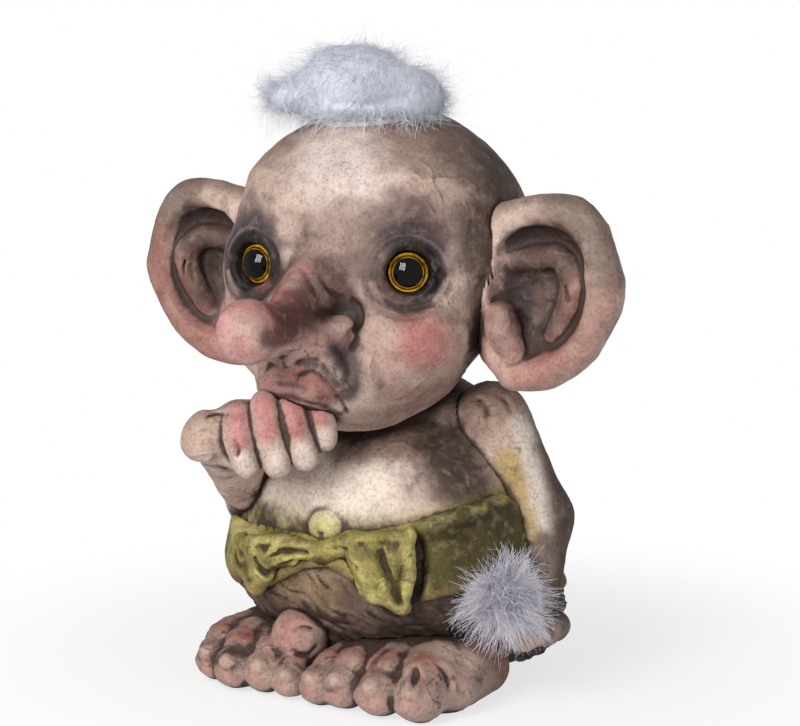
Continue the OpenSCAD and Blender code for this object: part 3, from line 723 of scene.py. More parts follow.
def paint_head(p, name):
    paint_skin(p, name)
    # painted highlight in the first row: the forehead paler where the light falls; painted shade in the last row, along
    # the underside of the jaw
    p.sprays("""
        #DCCBC3 14 .8   345,185 330,150
        #9C8177 9 .5    325,248 350,238
        #8A7169 7 .65   385,222 402,212 432,218
        #65534A 13 .8   440,122 466,146 480,170
        #463830 11 .85  500,165 505,190 492,232
        #51413A 8 .8    472,222 480,255
        #4E3B35 8 .85   482,296 482,325
        #634B44 7 .75   478,345 466,366
        #7A6055 8 .7    372,422 402,404 432,394 458,384""")
    # round each eye the paint darkens towards the glass: partly dark eye paint, partly painted shade in the socket,
    # near black at the glass
    for centre, out, across in eyes.values():
        p.spray("#64524F", [centre + (0, 0, 4) - across * 2], 15.5, 0.85, 0.5)
        p.spray("#41353B", [centre + (0, 0, 1.6) - across], 12.2, 0.9, 0.62)
        p.spray("#2C2328", [centre - out * 0.6], 9.0, 0.85, 0.55)
        p.spray("#0B0708", [centre - out * 1.6], 7.6, 0.97, 0.78)
        # the first ring is a painted highlight along the ridge of the lower lid
        for colour, first, last, wide, high, size, amount in (
                ("#A48F85", 3.5, 5.9, 8.1, 7.6, 0.9, 0.7), ("#7E7078", 0.2, 2.9, 8.1, 7.6, 0.5, 0.55),
                ("#8B7A7C", 4.6, 6.9, 9.8, 9.2, 0.4, 0.5)):
            around = [head.land(centre + across * wide * math.cos(a) + np.array([0, 0, high * math.sin(a) + 0.3])
                                + out * 12, -out, 24) for a in np.linspace(first, last, 9)]
            p.spray(colour, around, size, amount)
    p.sprays("""
        #8F7569 10 .65      318,236 345,228 352,250
        #A17C71 13 .5       378,330 410,372 440,380
        #B87876 8.8 .9 .55  -.8,-51,81.6 0,-43,84
        #CB9592 4 .7        -2.8,-56,83.5""")
    # the first two rows darken the sides of the nose: red-brown paint and painted shade together
    for way in (1, -1):
        p.sprays("""
            #6B3F3C 4.6 .9   276,312 292,300 308,298
            #4A2D2B 5.6 .95  290,322 308,316 328,312
            #5C413A 5.6 .85  312,290 326,274 344,296
            #A65E59 9.5 .75  428,345
            #5E3C38 3.4 .85  268,338 290,338 314,332
            #A37A6F 2.6 .7   346,318
            #33221F 2.4 .8   358,306 360,322""", way)
    p.sprays("""
        #A06A62 3 .7     303,270 284,280 262,292
        #AA827A 5.4 .8   266,366 298,356 328,350
        #44323A 4.2 .88  334,350 350,368 348,392
        #9A6C64 4.6 .8   268,390 296,390 326,400
        #9F625C 3.2 .8   290,374 312,380 326,392
        #3E2C30 1.2 .8   264,396 290,396 318,404 340,414
        #5B4142 .9 .8    280,384 300,386 322,398
        #3A2F33 4.6 .85  -15.7,-27.9,85.5
        #6B4A44 2.8 .75  330,334 346,340
        #4A353A 1.3 .85  300,362 322,366 336,384""")

def paint_ear(p, name):
    paint_skin(p, name)
    side, warm = (-1, 0.85) if name == "ear_right" else (1, 0.45)
    p.mix("#B98178", warm * clamp01((6.5 - np.abs(p.y + 9)) / 6) * clamp01((100 - p.z) / 20))
    p.sprays("""
        #6C5B51 6.5 .8        47,-7,105 54,-7,101 58,-7,92
        #8E6D61 6 .55         57,-8,88 52,-8,77 44,-8,72
        #543D37 11.5 .92 .55  41,-5,86 43,-4,95
        #38292A 4.6 .9        36,-4,90 36.5,-5,83
        #3E2F35 3 .75         36,-4,97.5 42,-4,99 47,-4,98
        #755A4F 3 .6          48,-7.5,90 46.5,-7,84
        #A9766B 6.5 .6        40,-9,71 46,-9,76
        #8A5A50 3 .6          50,-7,82 51,-7,90
        #7A5B52 4.2 .7        34.5,-9,81 35,-9,77""", side)
    p.mix("#6B5D50", 0.75 * clamp01((p.y + 4.5) / 5))
    if side < 0:
        p.sprays("#94625A 3.2 .7  160,230 158,262 160,290")

def paint_trunk(p, name):
    paint_skin(p, name)
    # painted light and shade: the front of the belly paler where the light falls, a painted shadow under the jaw, and
    # the gap by the left arm dark, partly brown paint and partly painted shade
    p.sprays("""
        #E8D8C9 17 .95  275,505 320,490 355,486
        #6D5247 6.5 .8  345,446 385,444 425,440
        #33271F 10 .9   446,446 460,482 478,502""")
    p.mix("#A59A4C", 0.8 * clamp01((42 - p.z + 0.27 * (p.y + 27)) / 7) * (p.z > 30))
    p.spray("#C9C07C", [navel], 5.2, 0.9)
    hairy = clamp01((30.5 - p.z) / 3)
    p.mix("#5A463A", 0.92 * hairy)
    p.mix("#8E7450", 0.75 * hairy * clamp01((p.z - 16) / 8) * clamp01((10 - p.x) / 10))
    p.mix("#A08B6E", 0.45 * hairy * clamp01(noise(p.points, 6, 31) + 0.2) * clamp01((8 - p.x) / 10))
    p.mix("#3A2E27", 0.6 * hairy * clamp01((p.x - 10) / 12))

def paint_arm_right(p, name):
    paint_skin(p, name)
    for stout, *joints in FINGERS:
        knuckle, joint, tip = (np.array(v) for v in joints)
        p.spray("#C07C78", [knuckle + toward * 2.4, joint + toward * 2.4], 3.4, 0.85)
        p.spray("#E8D6C9", [tip + toward * 2.0, tip + (joint - tip) * 0.3 + toward * 2.4], 2.8, 0.8)
    p.sprays("#C4A998 8 .7  205,438")

def paint_arm_left(p, name):
    paint_skin(p, name)
    # the second row is a painted highlight down the front of the arm
    p.sprays("""
        #8E6F5F 6 .6     500,400 478,420
        #DACDC0 5 .85    524,430 536,480 540,520
        #B0944E 4.6 .75  508,462 518,505 526,535""")
    p.mix("#4C4036", 0.88 * clamp01((p.y - 5 + 0.9 * (p.x - 33)) / 7))
    # painted shade: the lower arm darker where it sinks by the hip
    p.mix("#4F3F35", 0.9 * clamp01((31 - p.z) / 9))
    p.sprays("#635650 4.2 .75  545,545 542,558")

def paint_foot(p, name):
    paint_skin(p, name)
    is_left = name == "foot_left"
    p.mix("#8A675C", 0.45)
    p.mix("#A58A7E", 0.35 * clamp01((p.y + 30) / 14))
    p.mix("#43352E", 0.8 * clamp01((p.y + 20) / 9) * (0.35 if is_left else 1.0))
    for (x, y, z), size in LEFT_TOES if is_left else RIGHT_TOES:
        p.spray("#B06A62", [(x * 0.97, y + 2.5, z + size * 0.85)], size, 0.85)
        p.spray("#AE746B", [(x, y - size * 0.9, z - 1)], size * 0.7, 0.6)
        p.spray("#C9AE9F", [(x, y - size * 0.6, z - 2)], size * 0.8, 0.6)
        p.spray("#4A3732", [(x, y - size * 0.30, z + size * 0.80)], size * 0.34, 0.6)
        p.spray("#C8A99B", [(x, y - size * 0.95, z + size * 0.5)], size * 0.45, 0.55)
        p.spray("#8D625B", [(x, y - size * 0.2, z - size * 0.9)], size * 0.6, 0.6)
    p.sprays("""
        #7A5548 8 .75   33,-8,8 29,2,8
        #CDB2A4 6 .8    446,650 466,658
        #9A6F63 2.6 .5  419,700""" if is_left else "#BE837A 6.5 .75  -6,-28,13")

def paint_nappy(p, name):
    # painted light: paler on faces that look up and on the lit left side
    p.mix("#B5A65A", 0.8 * clamp01((p.up + 0.35) * 1.2) * clamp01((12 - p.x) / 14))
    p.patches("#5A5024", 0.6, 6, 41)
    p.patches("#3E3018", 0.45, 2.6, 42, 0.2, 1.8)
    p.sprays("""
        #8E8B3A 6.5 .7  432,560 452,566
        #C8B67C 5.5 .7  236,520 250,530""")
    p.mix("#3B331A", 0.85 * clamp01((p.x - 17) / 12))
    # painted highlight: paler on raised parts
    p.mix("#C0B466", 0.6 * p.proud)
    p.mix("#7A6444", 0.85 * clamp01((5 - (p.z - low(p.x, p.y))) / 5))
    # painted shade in the deep fold at the right
    p.sprays("#231C10 3.6 .9  414,545 420,575 414,604")
    p.mix("#6A5A3A", 0.5 * clamp01((p.y - 2) / 22))

def paint_bow(p, name):
    # painted light: paler on faces that look up
    p.mix("#B8AB5E", 0.8 * clamp01((p.up + 0.5) * 1.2))
    p.patches("#5E5424", 0.5, 4, 51)
    p.patches("#3E3018", 0.4, 2.0, 52, 0.2, 1.8)
    p.mix("#A08A58", 0.6 * clamp01((26 - p.z) / 4))
    p.mix("#3E3018", 0.7 * clamp01((23 - p.z) / 5) * clamp01(0.5 + noise(p.points, 3, 53)))
    # the three dark rows are painted shade: in the fold of the right loop, under the knot and under the left flap
    p.sprays("""
        #C9BC72 3.6 .6   256,546 276,548
        #2E2613 2.6 .85  392,575 400,596
        #2E2613 2.2 .7   318,560 330,566
        #2E2613 2 .7     262,572 284,564""")
    # painted highlight: paler on raised parts
    p.mix("#C6BE74", 0.65 * p.proud)

PLANS = {"body": paint_trunk, "head": paint_head, "ear_left": paint_ear, "ear_right": paint_ear,
         "arm_right": paint_arm_right, "arm_left": paint_arm_left, "foot_left": paint_foot,
         "foot_right": paint_foot, "nappy": paint_nappy, "nappy_bow": paint_bow, "tail": paint_skin}

# %% [markdown]
# ## Trees of nodes
# Materials and the hair grower are trees of nodes. One small class makes a node, sets what it is given,
# and draws a wire wherever the given value is another node or a socket, so a tree reads like a sum.

# %% A helper that wires nodes
class Wires:
    def __init__(self, tree):
        self.tree = tree

    def feed(self, made, *given, **values):
        """fill inputs in order or by name: with a number, a socket, or a node's first output"""
        for key, value in [*enumerate(given), *values.items()]:
            value = value.outputs[0] if isinstance(value, bpy.types.Node) else value
            if isinstance(value, bpy.types.NodeSocket):
                self.tree.links.new(value, made.inputs[key])
            elif value is not None:
                made.inputs[key].default_value = value
        return made

    def __call__(self, kind, *given, **values):
        made = self.tree.nodes.new(kind)
        for key in [key for key in values if hasattr(made, key)]:
            setattr(made, key, values.pop(key))
        return self.feed(made, *given, **values)

    def math(self, do, *given):
        return self("ShaderNodeMath", *given, operation=do)

    def vector(self, do, *given, **values):
        return self("ShaderNodeVectorMath", *given, operation=do, **values)

    def range(self, value, *limits, **settings):
        """a number carried from one range, low to high, to another, or to 0 to 1"""
        return self("ShaderNodeMapRange", value, *limits, **settings)

    def attribute(self, name, output="Fac"):
        return self("ShaderNodeAttribute", attribute_name=name).outputs[output]

    def noise(self, scale, detail, where=None, **more):
        where = where or self("ShaderNodeTexCoord").outputs["Object"]
        return self("ShaderNodeTexNoise", where, Scale=scale, Detail=detail, **more)

    def ramp(self, value, first, last, *between):
        """colours at places along a ramp"""
        made = self("ShaderNodeValToRGB", value)
        row = made.color_ramp.elements
        row[0].position, row[0].color = first[0], (*tone(first[1]), 1)
        row[1].position, row[1].color = last[0], (*tone(last[1]), 1)
        for at, colour in between:
            row.new(at).color = (*tone(colour), 1)
        return made

def new_material(name):
    material = bpy.data.materials.new(name)
    material.use_nodes = True
    return material, Wires(material.node_tree), material.node_tree.nodes["Principled BSDF"]

# %% [markdown]
# ## Painted skin and painted cloth
# Both are the same matt paint. The sprayed colour comes from the mesh, and the material adds what is too
# fine for it: brown speckles, mottling, the darkening of the hollows from the mesh (dark paint and painted shade)
# broken up at its edge, fine cracks, and a bump of pores. Gloss varies a little in patches.

# %% Build the paint material
def painted(name, speckle, dark, sheen):
    material, w, shader = new_material(name)

    def grain(scale, detail, low, high):
        raw = w.noise(scale, detail, Roughness=0.6)
        return w.range(raw, low, high), raw

    def over(skin, factor, colour, share):
        """a colour laid over the skin by a factor"""
        return w("ShaderNodeMix", w.math("MULTIPLY", factor, share), *[None] * 5, skin, (*tone(colour), 1),
                 data_type="RGBA", blend_type="MIX").outputs[2]

    mottle, mottle_raw = grain(260, 5, 0.45, 0.72)
    edge, edge_raw = grain(700, 4, 0.3, 0.7)
    pits, pits_raw = grain(1300, 3, 0.50, 0.36)
    winding = w.noise(300, 7, Roughness=0.6, Distortion=1.2)
    crack = w.range(w.math("ABSOLUTE", w.math("SUBTRACT", winding, 0.5)), 0.0, 0.014, 1.0, 0.0)
    cracked = w.math("MULTIPLY", crack, grain(90, 3, 0.48, 0.62)[0])
    skin = w.attribute("paint", "Color")
    for factor, colour, share in ((mottle, dark, 0.30), (grain(420, 4, 0.52, 0.75)[0], "#E4D3C6", 0.15),
                                  (grain(2300, 4, 0.56, 0.76)[0], "#5A443A", 0.42), (cracked, dark, 0.5),
                                  (pits, dark, 0.28)):
        skin = over(skin, factor, colour, share * speckle)
    # the darkening of the hollows, dark paint and painted shade, broken up at its edge by noise
    broken = w.math("ADD", w.attribute("wash_and_shade"), w.math("MULTIPLY", w.math("SUBTRACT", edge, 0.5), 0.30))
    skin = over(skin, w.range(broken, 0.12, 0.95, interpolation_type="SMOOTHSTEP"), dark, 0.92)
    bump = None
    for height, strength, depth in ((edge_raw, 0.7, 0.00022), (grain(2200, 3, 0.3, 0.7)[1], 0.35, 0.00008),
                                    (pits_raw, 0.5, 0.00022)):
        bump = w("ShaderNodeBump", Strength=strength, Distance=depth, Height=height, Normal=bump)
    w.feed(shader, **{"Base Color": skin, "Roughness": w.range(mottle_raw, 0.0, 1.0, 0.48, 0.72),
                      "Specular IOR Level": sheen, "Normal": bump})
    return material

skin_paint = painted("painted_skin", 1.0, "#32241F", 0.35)
cloth_paint = painted("painted_nappy", 1.25, "#2E2416", 0.3)
print("paint materials made")

# %% Where the fine wrinkles lie
# casting, how far they reach, how deep, how large, then places or pixels
WRINKLES = rows("""
    head       8 .34 2.6   270,368 300,360 335,372 345,395
    head       9 .30 3.4   440,185 462,205 478,235
    head       6 .30 3.0   470,282 488,300
    head       5 .18 3.2   372,222 405,212 438,226
    head       5 .20 3.2   350,300 362,335 366,365
    head       7 .22 3.4   400,400 440,385 470,360
    head       5 .15 2.6   380,290 420,306 455,296
    ear_left   11 .32 2.6  38,-4,84 43,-4,90 44,-4,97
    ear_right  11 .32 2.6  -38,-4,84 -43,-4,90 -44,-4,97
    arm_left   10 .22 2.6  480,400 505,415 500,450
    arm_right  9 .22 3.4   215,440 236,470 245,500
    body       9 .26 3.6   340,446 400,440 450,446 478,480
    foot_left  14 .20 2.4  10,-24,9 28,-24,9
    foot_left  7 .20 1.8   4,-32,7 30,-32,7
    foot_right 14 .20 2.4  -10,-24,9 -26,-22,9
    foot_right 7 .20 1.8   -4,-32,7 -28,-30,7
    nappy      14 .20 4.0  425,545 480,540
    nappy_bow  16 .20 3.0  250,560 300,550 390,565""")

def wrinkled(name, points):
    """how deep the fine wrinkles are at each point, between 0 and about a third of a millimetre"""
    total = 0.07 * thread(points, 6.0, 301) * clamp01(noise(points, 9, 302) * 2)
    if name == "head":
        for centre, out, across in eyes.values():
            off = points - centre
            apart = np.sqrt((off @ across) ** 2 + (off[:, 2] * 1.06) ** 2) + 0.5 * noise(points, 5, 305)
            ahead = np.abs(off @ out) < 12
            for wide, depth, half in ((7.2, 0.16, 0.35), (8.9, 0.20, 0.45), (10.6, 0.14, 0.5)):
                total = total + ahead * depth * clamp01(1 - np.abs(apart - wide) / half)
    clay = castings["nappy" if name == "nappy_bow" else name]
    for k, (_, reach, depth, size, *path) in enumerate(row for row in WRINKLES if row[0] == name):
        path = [np.array(p) if len(p) == 3 else clay.under(*p) for p in path]
        share = clamp01((reach - from_path(points, path)) / (0.6 * reach))
        warp = np.stack([noise(points, size * 1.5, 310 + 3 * k + i) for i in range(3)], 1) * size * 0.5
        total = total + depth * share * thread(points + warp, size, 303 + k, 0.14)
    return total

# %% Cast, roughen and paint the castings
for seed, (name, clay) in enumerate(castings.items()):
    is_foot, is_green = name.startswith("foot"), name.startswith("nappy")
    points, faces = surface(clay)
    draft = make_mesh("draft", points, faces)
    n = normals(draft)
    bpy.data.objects.remove(draft)
    move = rough(points, 100 + 10 * seed) * (1.5 if is_foot else 1.15)
    if name == "head" or name.startswith("ear"):
        move = move * 0.7
    carve = np.zeros(len(points))
    if name == "body":
        lie = points[:, 2] * 0.8 + points[:, 0] * 0.45 + 1.6 * noise(points, 5, 71)
        strand = noise(np.stack([lie, points[:, 0] * 0.22, points[:, 1] * 0.3], 1), 0.8, 72)
        carve = 0.9 * np.minimum(strand, 0.15) * clamp01((28.5 - points[:, 2]) / 3)
    lines = wrinkled(name, points)
    points = points + n * (move + carve - lines)[:, None]
    if is_foot or name == "body":
        points[:, 2] = np.maximum(points[:, 2], 0.0 if is_foot else 1.0)
    piece = make_mesh("troll_" + name, points, faces)
    n = normals(piece)
    fine = counted(clay, np.minimum(clay.field, spread(whole, clay) + 0.4), 2).read(points + n * 0.15)
    wide = coarse.read(points + n * 0.6)
    # darkness of the hollows: partly a thin dark paint in creases and wrinkles, partly painted shade in wide hollows,
    # in the seams between castings and at the floor
    wash_and_shade = 1.7 * np.maximum(fine - 0.55, 0) / 0.25 + 1.35 * np.maximum(wide - 0.59, 0) / 0.25
    wash_and_shade = wash_and_shade - 2.2 * carve + 0.5 * np.maximum(-move, 0) + 2.2 * lines
    wash_and_shade = wash_and_shade * (1.25 if is_foot or is_green else 1.0)
    # proud marks raised parts, which the plans paint paler as painted highlight
    paint = Paint(clay, points, n, clamp01((0.47 - fine) / 0.12), "#8A8040" if is_green else "#C9B1A3")
    PLANS[name](paint, name)
    mark(piece, "paint", np.hstack([paint.colour, np.ones((len(points), 1))]))
    mark(piece, "wash_and_shade", np.clip(wash_and_shade, 0, 1))
    hand_over(piece, name, *(("nappy_paint", cloth_paint) if is_green else ("skin", skin_paint)))

# %% [markdown]
# ## Glass eyes
# Each eye is a clear glass dome with an amber ring and a black pupil behind it. The dome is a profile
# spun round the eye's own axis. The iris is a shallow dish, spun in the same way, whose rings of colour
# follow its own distance from the middle, written on the mesh as an attribute.

# %% Spin a profile round the eye's axis
def spun(name, profile, centre, out, turns=64):
    across = np.cross([0, 0, 1], out); across /= np.linalg.norm(across)
    over = np.cross(out, across)
    counts = [turns if radius else 1 for radius, _ in profile]
    points = [centre + out * along + across * radius * math.cos(a) + over * radius * math.sin(a)
              for (radius, along), count in zip(profile, counts)
              for a in (2 * math.pi * j / turns for j in range(count))]
    corner = lambda k, j: sum(counts[:k]) + j % counts[k]
    faces = [tuple(dict.fromkeys([corner(k, j), corner(k + 1, j), corner(k + 1, j + 1), corner(k, j + 1)]))
             for k in range(len(profile) - 1) for j in range(turns)]
    piece = make_mesh(name, points, faces)
    volume = sum((f.center - Vector(in_metres(centre))).dot(f.normal) * f.area for f in piece.data.polygons)
    if volume < 0:
        piece.data.flip_normals()
    mark(piece, "from_middle", np.repeat([radius for radius, _ in profile], counts))
    return piece

DOME, RIM_AT = 2.6, EYE_HALF - 0.2     # mm, the dome's height and half width
ball = (RIM_AT ** 2 + DOME ** 2) / (2 * DOME)
dome = [(0, DOME - 3.0)] + [(RIM_AT * k / 14, DOME - ball + math.sqrt(ball ** 2 - (RIM_AT * k / 14) ** 2) - 3.0)
                            for k in range(1, 15)]
dome += [(EYE_HALF, -2.75), (EYE_HALF, -3.0), (EYE_HALF - 0.1, -3.0), (0, -3.0)]
dish = [(0, -2.75), (1.1, -2.74), (2.1, -2.7), (2.6, -2.66), (3.1, -2.7), (3.7, -2.72), (4.15, -2.8), (4.42, -2.9),
        (4.48, -3.05), (EYE_HALF, -3.6), (0, -3.6)]

# %% Glass and iris materials
glass, w, shader = new_material("clear_glass")
w.feed(shader, **{"Transmission Weight": 1.0, "IOR": 1.45, "Specular IOR Level": 0.25, "Roughness": 0.0,
                  "Base Color": w.ramp(w.noise(300, 2), (0.0, (0.98, 0.97, 0.94)), (1.0, (0.93, 0.90, 0.82)))})

iris, w, shader = new_material("amber_iris")
ring = w.ramp(w.math("DIVIDE", w.attribute("from_middle"), EYE_HALF),
              (0.0, (0.004, 0.004, 0.004)), (1.0, (0.006, 0.005, 0.004)),
              (0.62, "#050505"), (0.645, "#C79A1C"), (0.68, "#5A3A08"), (0.73, "#3E2606"), (0.78, "#B88414"),
              (0.82, "#F2CC3A"), (0.88, "#E3B41C"), (0.915, "#6A4608"), (0.94, "#0C0806"))
streaks = w.range(w.noise(620, 4), 0.38, 0.62, 0.35, 1.4)
w.feed(shader, **{"Base Color": w.vector("SCALE", ring, Scale=streaks), "Roughness": 0.5, "Specular IOR Level": 0.0})

for name, (centre, out, across) in eyes.items():
    for slot, profile, material in (("eye_glass", dome, glass), ("eye_iris", dish, iris)):
        piece = spun(f"troll_{slot}_{name}", profile, centre, out)
        hand_over(piece, f"{slot}_{name}", slot, material)

# %% [markdown]
# ## Fur
# Real fur is thousands of fine hairs on a strip of pelt. One hair is repeated, so Geometry Nodes make it:
# points are scattered on a small seed lump, each grows a line along the lump's normal with a random lean,
# the line is bent by noise and gravity, and a three-sided tube with a thin tip runs along it. A soft lump
# of clay-like fluff sits inside, so that no light shows through.

# %% The tree that grows hairs
def fur_tree(name):
    tree = bpy.data.node_groups.new(name, "GeometryNodeTree")
    socket = lambda label, kind, way="INPUT": tree.interface.new_socket(
        label, in_out=way, socket_type="NodeSocket" + kind)
    socket("Geometry", "Geometry")
    for label, value in (("Hairs per square metre", 1e6), ("Length", 0.008), ("Thickness", 0.00008), ("Lean", 0.7),
                         ("Curl", 0.003), ("Droop", 0.001)):
        socket(label, "Float").default_value = value
    socket("Seed", "Int").default_value = 1
    socket("Material", "Material")
    socket("Geometry", "Geometry", "OUTPUT")
    w = Wires(tree)
    given = w("NodeGroupInput").outputs
    seed = given["Seed"]

    # where each hair stands, which way it leans, how long and how light it is
    scatter = w("GeometryNodeDistributePointsOnFaces", given["Geometry"],
                Density=given["Hairs per square metre"], Seed=seed)
    lean = w("FunctionNodeRandomValue", (-1, -1, -1), (1, 1, 1), data_type="FLOAT_VECTOR", Seed=seed)
    way = w.vector("ADD", scatter.outputs["Normal"], w.vector("SCALE", lean, Scale=given["Lean"]))
    aim = w("FunctionNodeAlignRotationToVector", axis="Z", Vector=way)
    line = w("GeometryNodeResampleCurve", w("GeometryNodeCurvePrimitiveLine", End=(0, 0, 1)), Count=5)
    length = w("FunctionNodeRandomValue", None, None, 0.45, 1.15, data_type="FLOAT", Seed=seed).outputs[1]
    size = w("ShaderNodeCombineXYZ", 1.0, 1.0, w.math("MULTIPLY", length, given["Length"]))
    shade = w("FunctionNodeRandomValue", data_type="FLOAT", ID=w("GeometryNodeInputIndex")).outputs[1]
    roots = w("GeometryNodeStoreNamedAttribute", data_type="FLOAT", domain="POINT",
              Geometry=scatter, Name="strand_tone", Value=shade)
    plant = w("GeometryNodeInstanceOnPoints", Points=roots, Instance=line, Rotation=aim, Scale=size)

    # bend it by noise and gravity, more towards the tip
    along = w("GeometryNodeSplineParameter").outputs["Factor"]
    bent = w.math("POWER", along, 1.7)
    swirl = w.noise(170.0, 2.0, w("GeometryNodeInputPosition"))
    centred = w.vector("SUBTRACT", swirl.outputs["Color"], (0.5, 0.5, 0.5))
    curled = w.vector("SCALE", centred, Scale=w.math("MULTIPLY", bent, given["Curl"]))
    fall = w.math("MULTIPLY", w.math("MULTIPLY", bent, given["Droop"]), -1)
    shape = w("GeometryNodeSetPosition", w("GeometryNodeRealizeInstances", plant),
              Offset=w.vector("ADD", curled, w("ShaderNodeCombineXYZ", Z=fall)))

    # run a thin tube along it
    saved = w("GeometryNodeStoreNamedAttribute", data_type="FLOAT", domain="POINT",
              Geometry=shape, Name="along", Value=along)
    width = w.math("MULTIPLY", w.range(along, 0.0, 1.0, 1.0, 0.25), given["Thickness"])
    tube_side = w("GeometryNodeCurvePrimitiveCircle", Resolution=3, Radius=1.0)
    tube = w("GeometryNodeCurveToMesh", saved, tube_side, Scale=width, **{"Fill Caps": True})
    stuff = w("GeometryNodeSetMaterial", w("GeometryNodeRealizeInstances", tube), Material=given["Material"])
    w("NodeGroupOutput", stuff)
    return tree

hair_grower = fur_tree("grow_hairs")

def grow(name, seed_clay, material, **wanted):
    root = make_mesh(name, *surface(seed_clay))
    grower = root.modifiers.new("hairs", "NODES")
    grower.node_group = hair_grower
    wanted["Material"] = material
    for item in hair_grower.interface.items_tree:
        if item.in_out == "INPUT" and item.name in wanted:
            grower[item.identifier] = wanted[item.name]
    view = bpy.context.evaluated_depsgraph_get()
    mesh = bpy.data.meshes.new_from_object(root.evaluated_get(view), preserve_all_data_layers=True, depsgraph=view)
    bpy.data.objects.remove(root)
    mesh.name = name
    return placed(name, mesh)

# %% Fur materials
def fur(name, root_tone, mid_tone, tip_tone):
    material, w, shader = new_material(name)
    ramp = w.ramp(w.attribute("along"), (0.0, root_tone), (1.0, tip_tone), (0.45, mid_tone))
    each = w.range(w.attribute("strand_tone"), 0.0, 1.0, 0.82, 1.12)
    patch = w.range(w.noise(260.0, 3.0), 0.3, 0.7, 0.9, 1.08)
    w.feed(shader, **{"Base Color": w.vector("SCALE", ramp, Scale=w.math("MULTIPLY", each, patch)),
                      "Roughness": 0.6, "Sheen Weight": 0.3, "Sheen Roughness": 0.5})
    return material

down_fur = fur("down_fur", "#C4C8D6", "#D2D5E0", "#E7E9EF")
white_fur = fur("white_fur", "#C6CAD9", "#D9DCE7", "#EEF0F5")
grey_fur = fur("lavender_fur", "#646B84", "#C6C4D8", "#F0EBF2")

# %% Grow the two tufts
def tuft(kind, node, slot, lump, under_fur, along, shade, curl, material, coats):
    """a soft lump and the coats of hair that grow on it"""
    under = make_mesh(f"troll_{kind}_under", *surface(lump))
    for key, value in (("along", along), ("strand_tone", shade)):
        mark(under, key, np.full(len(under.data.vertices), value))
    hand_over(under, node, slot, under_fur)
    for word, many, long, thick, lean, droop, seed in rows(coats):
        hairs = grow(f"troll_{kind}_{word}", lump, material, **{
            "Hairs per square metre": many, "Length": long, "Thickness": thick, "Lean": lean, "Curl": curl,
            "Droop": droop, "Seed": int(seed)})
        hand_over(hairs, node, slot)

crown = Clay((-30, -30, 116), (26, 18, 143), 0.5)
crown.sculpt("""
    add 1  -3,-7,129.4,12.5,11,8.8
    add 3  -14.5,-13.5,127.6,6,5.5,3.8
    add 3  9,-4,127.8,6.5,7.5,5.6
    add 3  0,-6,125.4,13.5,12.5,3.4""")
seam(crown, head, gap=0.2)
tuft("hair", "hair_tuft", "hair_fur", crown, down_fur, 0.25, 0.5, 0.009, white_fur, """
    soft 3.4e6 .0062 .00008 1.35 .0004 3
    down 3.5e6 .0070 .00006 1.25 .0004 6
    fine 3.5e6 .0078 .00004 1.15 .0006 4
    mist 3.5e6 .0090 .00003 1.1 .0010 7
    long 2.4e6 .0120 .00003 1.1 .0020 5""")

tail_end = Clay((26, -24, 12), (48, 0, 38), 0.5)
tail_end.lump((37.2, -12.3, 24.4), (3.2, 3.8, 4.2), 1, math.radians(-32))
tuft("tail", "tail_tuft", "tail_fur", tail_end, grey_fur, 0.1, 0.4, 0.012, grey_fur, """
    soft 2.6e7 .0092 .00012 .95 .0006 11
    long 2.6e7 .0135 .00008 .75 .0018 12""")

# %% [markdown]
# ## Hidden parts
# The pegs, wires, pelt, board and felt keep their plain solids, because their shapes are right. Each gets
# a finish of its own: drawn wire, suede, straight wood grain and pressed felt.

# %% Finishes of the hidden parts
def plain_finish(name, first, second, stretch, scale, dull_low, dull_high, bump=0.0001, metal=0.0):
    material, w, shader = new_material(name)
    lay = w("ShaderNodeMapping", w("ShaderNodeTexCoord").outputs["Object"], Scale=stretch)
    tex = w.noise(scale, 4.0, lay)
    w.feed(shader, **{"Base Color": w.ramp(tex, (0.35, first), (0.65, second)), "Metallic": metal,
                      "Roughness": w.range(tex, 0.0, 1.0, dull_low, dull_high),
                      "Normal": w("ShaderNodeBump", Strength=0.5, Distance=bump, Height=tex)})
    return material

finishes = {
    "wire": plain_finish("drawn_wire", "#8B8B8B", "#B9B9B9", (1, 1, 0.1), 2600, 0.25, 0.45, 0.00003, 1.0),
    "pelt_hide": plain_finish("suede_backing", "#C4BCB2", "#DDD7CF", (1, 1, 1), 1400, 0.8, 0.95),
    "peg_wood": plain_finish("dowel_wood", "#A97F4F", "#C9A06C", (1, 1, 0.12), 700, 0.55, 0.75),
    "board_wood": plain_finish("plywood", "#9C7646", "#BE9760", (0.15, 1, 1), 420, 0.55, 0.75),
    "felt": plain_finish("pressed_felt", "#2C352E", "#465048", (1, 1, 1), 1900, 0.9, 1.0, 0.0002)}
for sub in frame["record"]["subparts"]:
    if sub["material_slot"] in finishes:
        part = frame["nodes"][sub["node"]]
        part.data.materials.clear()
        part.data.materials.append(finishes[sub["material_slot"]])
        print(sub["node"], "finished as", finishes[sub["material_slot"]].name)

# %% [markdown]
# ## Studio
# A white paper sheet, one broad soft lamp from the viewer's left and above, a weaker one from the right,
# and an even grey surrounding. Camera rays see the surrounding as white, while the lamps set how bright
# the figure is.

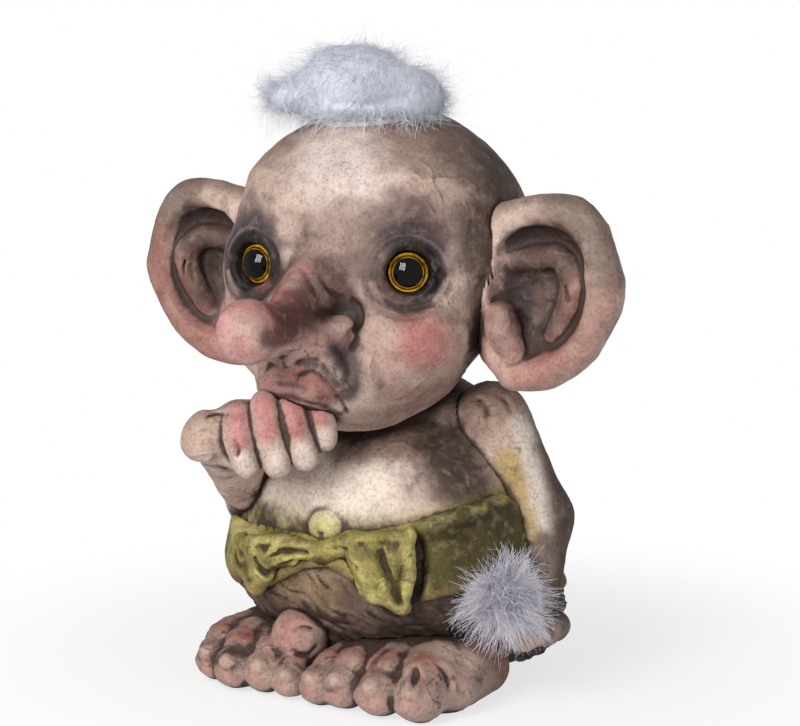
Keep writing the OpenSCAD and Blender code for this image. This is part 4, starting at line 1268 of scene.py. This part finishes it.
# %% Surroundings, lamps and paper
world = bpy.context.scene.world = bpy.context.scene.world or bpy.data.worlds.new("studio")
world.use_nodes = True
world.node_tree.nodes.clear()
w = Wires(world.node_tree)
seen = w("ShaderNodeLightPath").outputs
w("ShaderNodeOutputWorld", w("ShaderNodeMixShader",
                             w.math("MAXIMUM", seen["Is Camera Ray"], seen["Is Transmission Ray"]),
                             w("ShaderNodeBackground", (0.96, 0.97, 1.0, 1), 0.32),
                             w("ShaderNodeBackground", (1, 1, 1, 1), 1.0)))

def aim_at(thing, start, target):
    thing.location = in_metres(start)
    thing.rotation_euler = (Vector(in_metres(target)) - thing.location).to_track_quat("-Z", "Y").to_euler()
    return thing

def lamp(name, start, wide, high, watts, colour):
    data = bpy.data.lights.new(name, "AREA")
    data.shape, data.size, data.size_y, data.energy, data.color = "RECTANGLE", wide, high, watts, colour
    return aim_at(placed(name, data), start, (0, 0, 70))

lamp("key", middle + 520 * toward - 330 * right + 225 * upward, 0.34, 0.42, 4.0, (1.0, 0.985, 0.965))
fill = lamp("fill", middle + 500 * toward + 520 * right + 60 * upward, 0.4, 0.55, 1.2, (0.97, 0.98, 1.0))
fill.visible_glossy = False

paper = bpy.data.meshes.new("paper")
paper.from_pydata([(-3, -3, 0), (3, -3, 0), (3, 3, 0), (-3, 3, 0)], [], [(0, 1, 2, 3)])
sheet = placed("paper_floor", paper)
white, w, shader = new_material("white_paper")
w.feed(shader, **{"Base Color": (0.9, 0.9, 0.9, 1), "Roughness": 0.9})
far = w.vector("LENGTH", w("ShaderNodeTexCoord").outputs["Object"]).outputs["Value"]
fade = w.range(far, 0.04, 0.14, 0.72, 1.0, interpolation_type="SMOOTHSTEP")
share = w.math("MULTIPLY", w("ShaderNodeLightPath").outputs["Is Camera Ray"], fade)
w.feed(white.node_tree.nodes["Material Output"],
       w("ShaderNodeMixShader", share, shader, w("ShaderNodeEmission", Strength=1.0)))
paper.materials.append(white)
sheet.visible_glossy = False

# %% Camera
view = bpy.data.cameras.new("camera")
view.sensor_width = 36
view.lens = 36 * pixels_per_turn / 800
view.clip_start, view.clip_end = 0.01, 20
bpy.context.scene.camera = aim_at(placed("camera", view), lens_at,
                                  middle + right * (15 * PIXEL) + upward * (22 * PIXEL))
bpy.context.scene.view_settings.view_transform = "Standard"
print("lens", round(view.lens, 1), "mm")

# %% Import json
import json
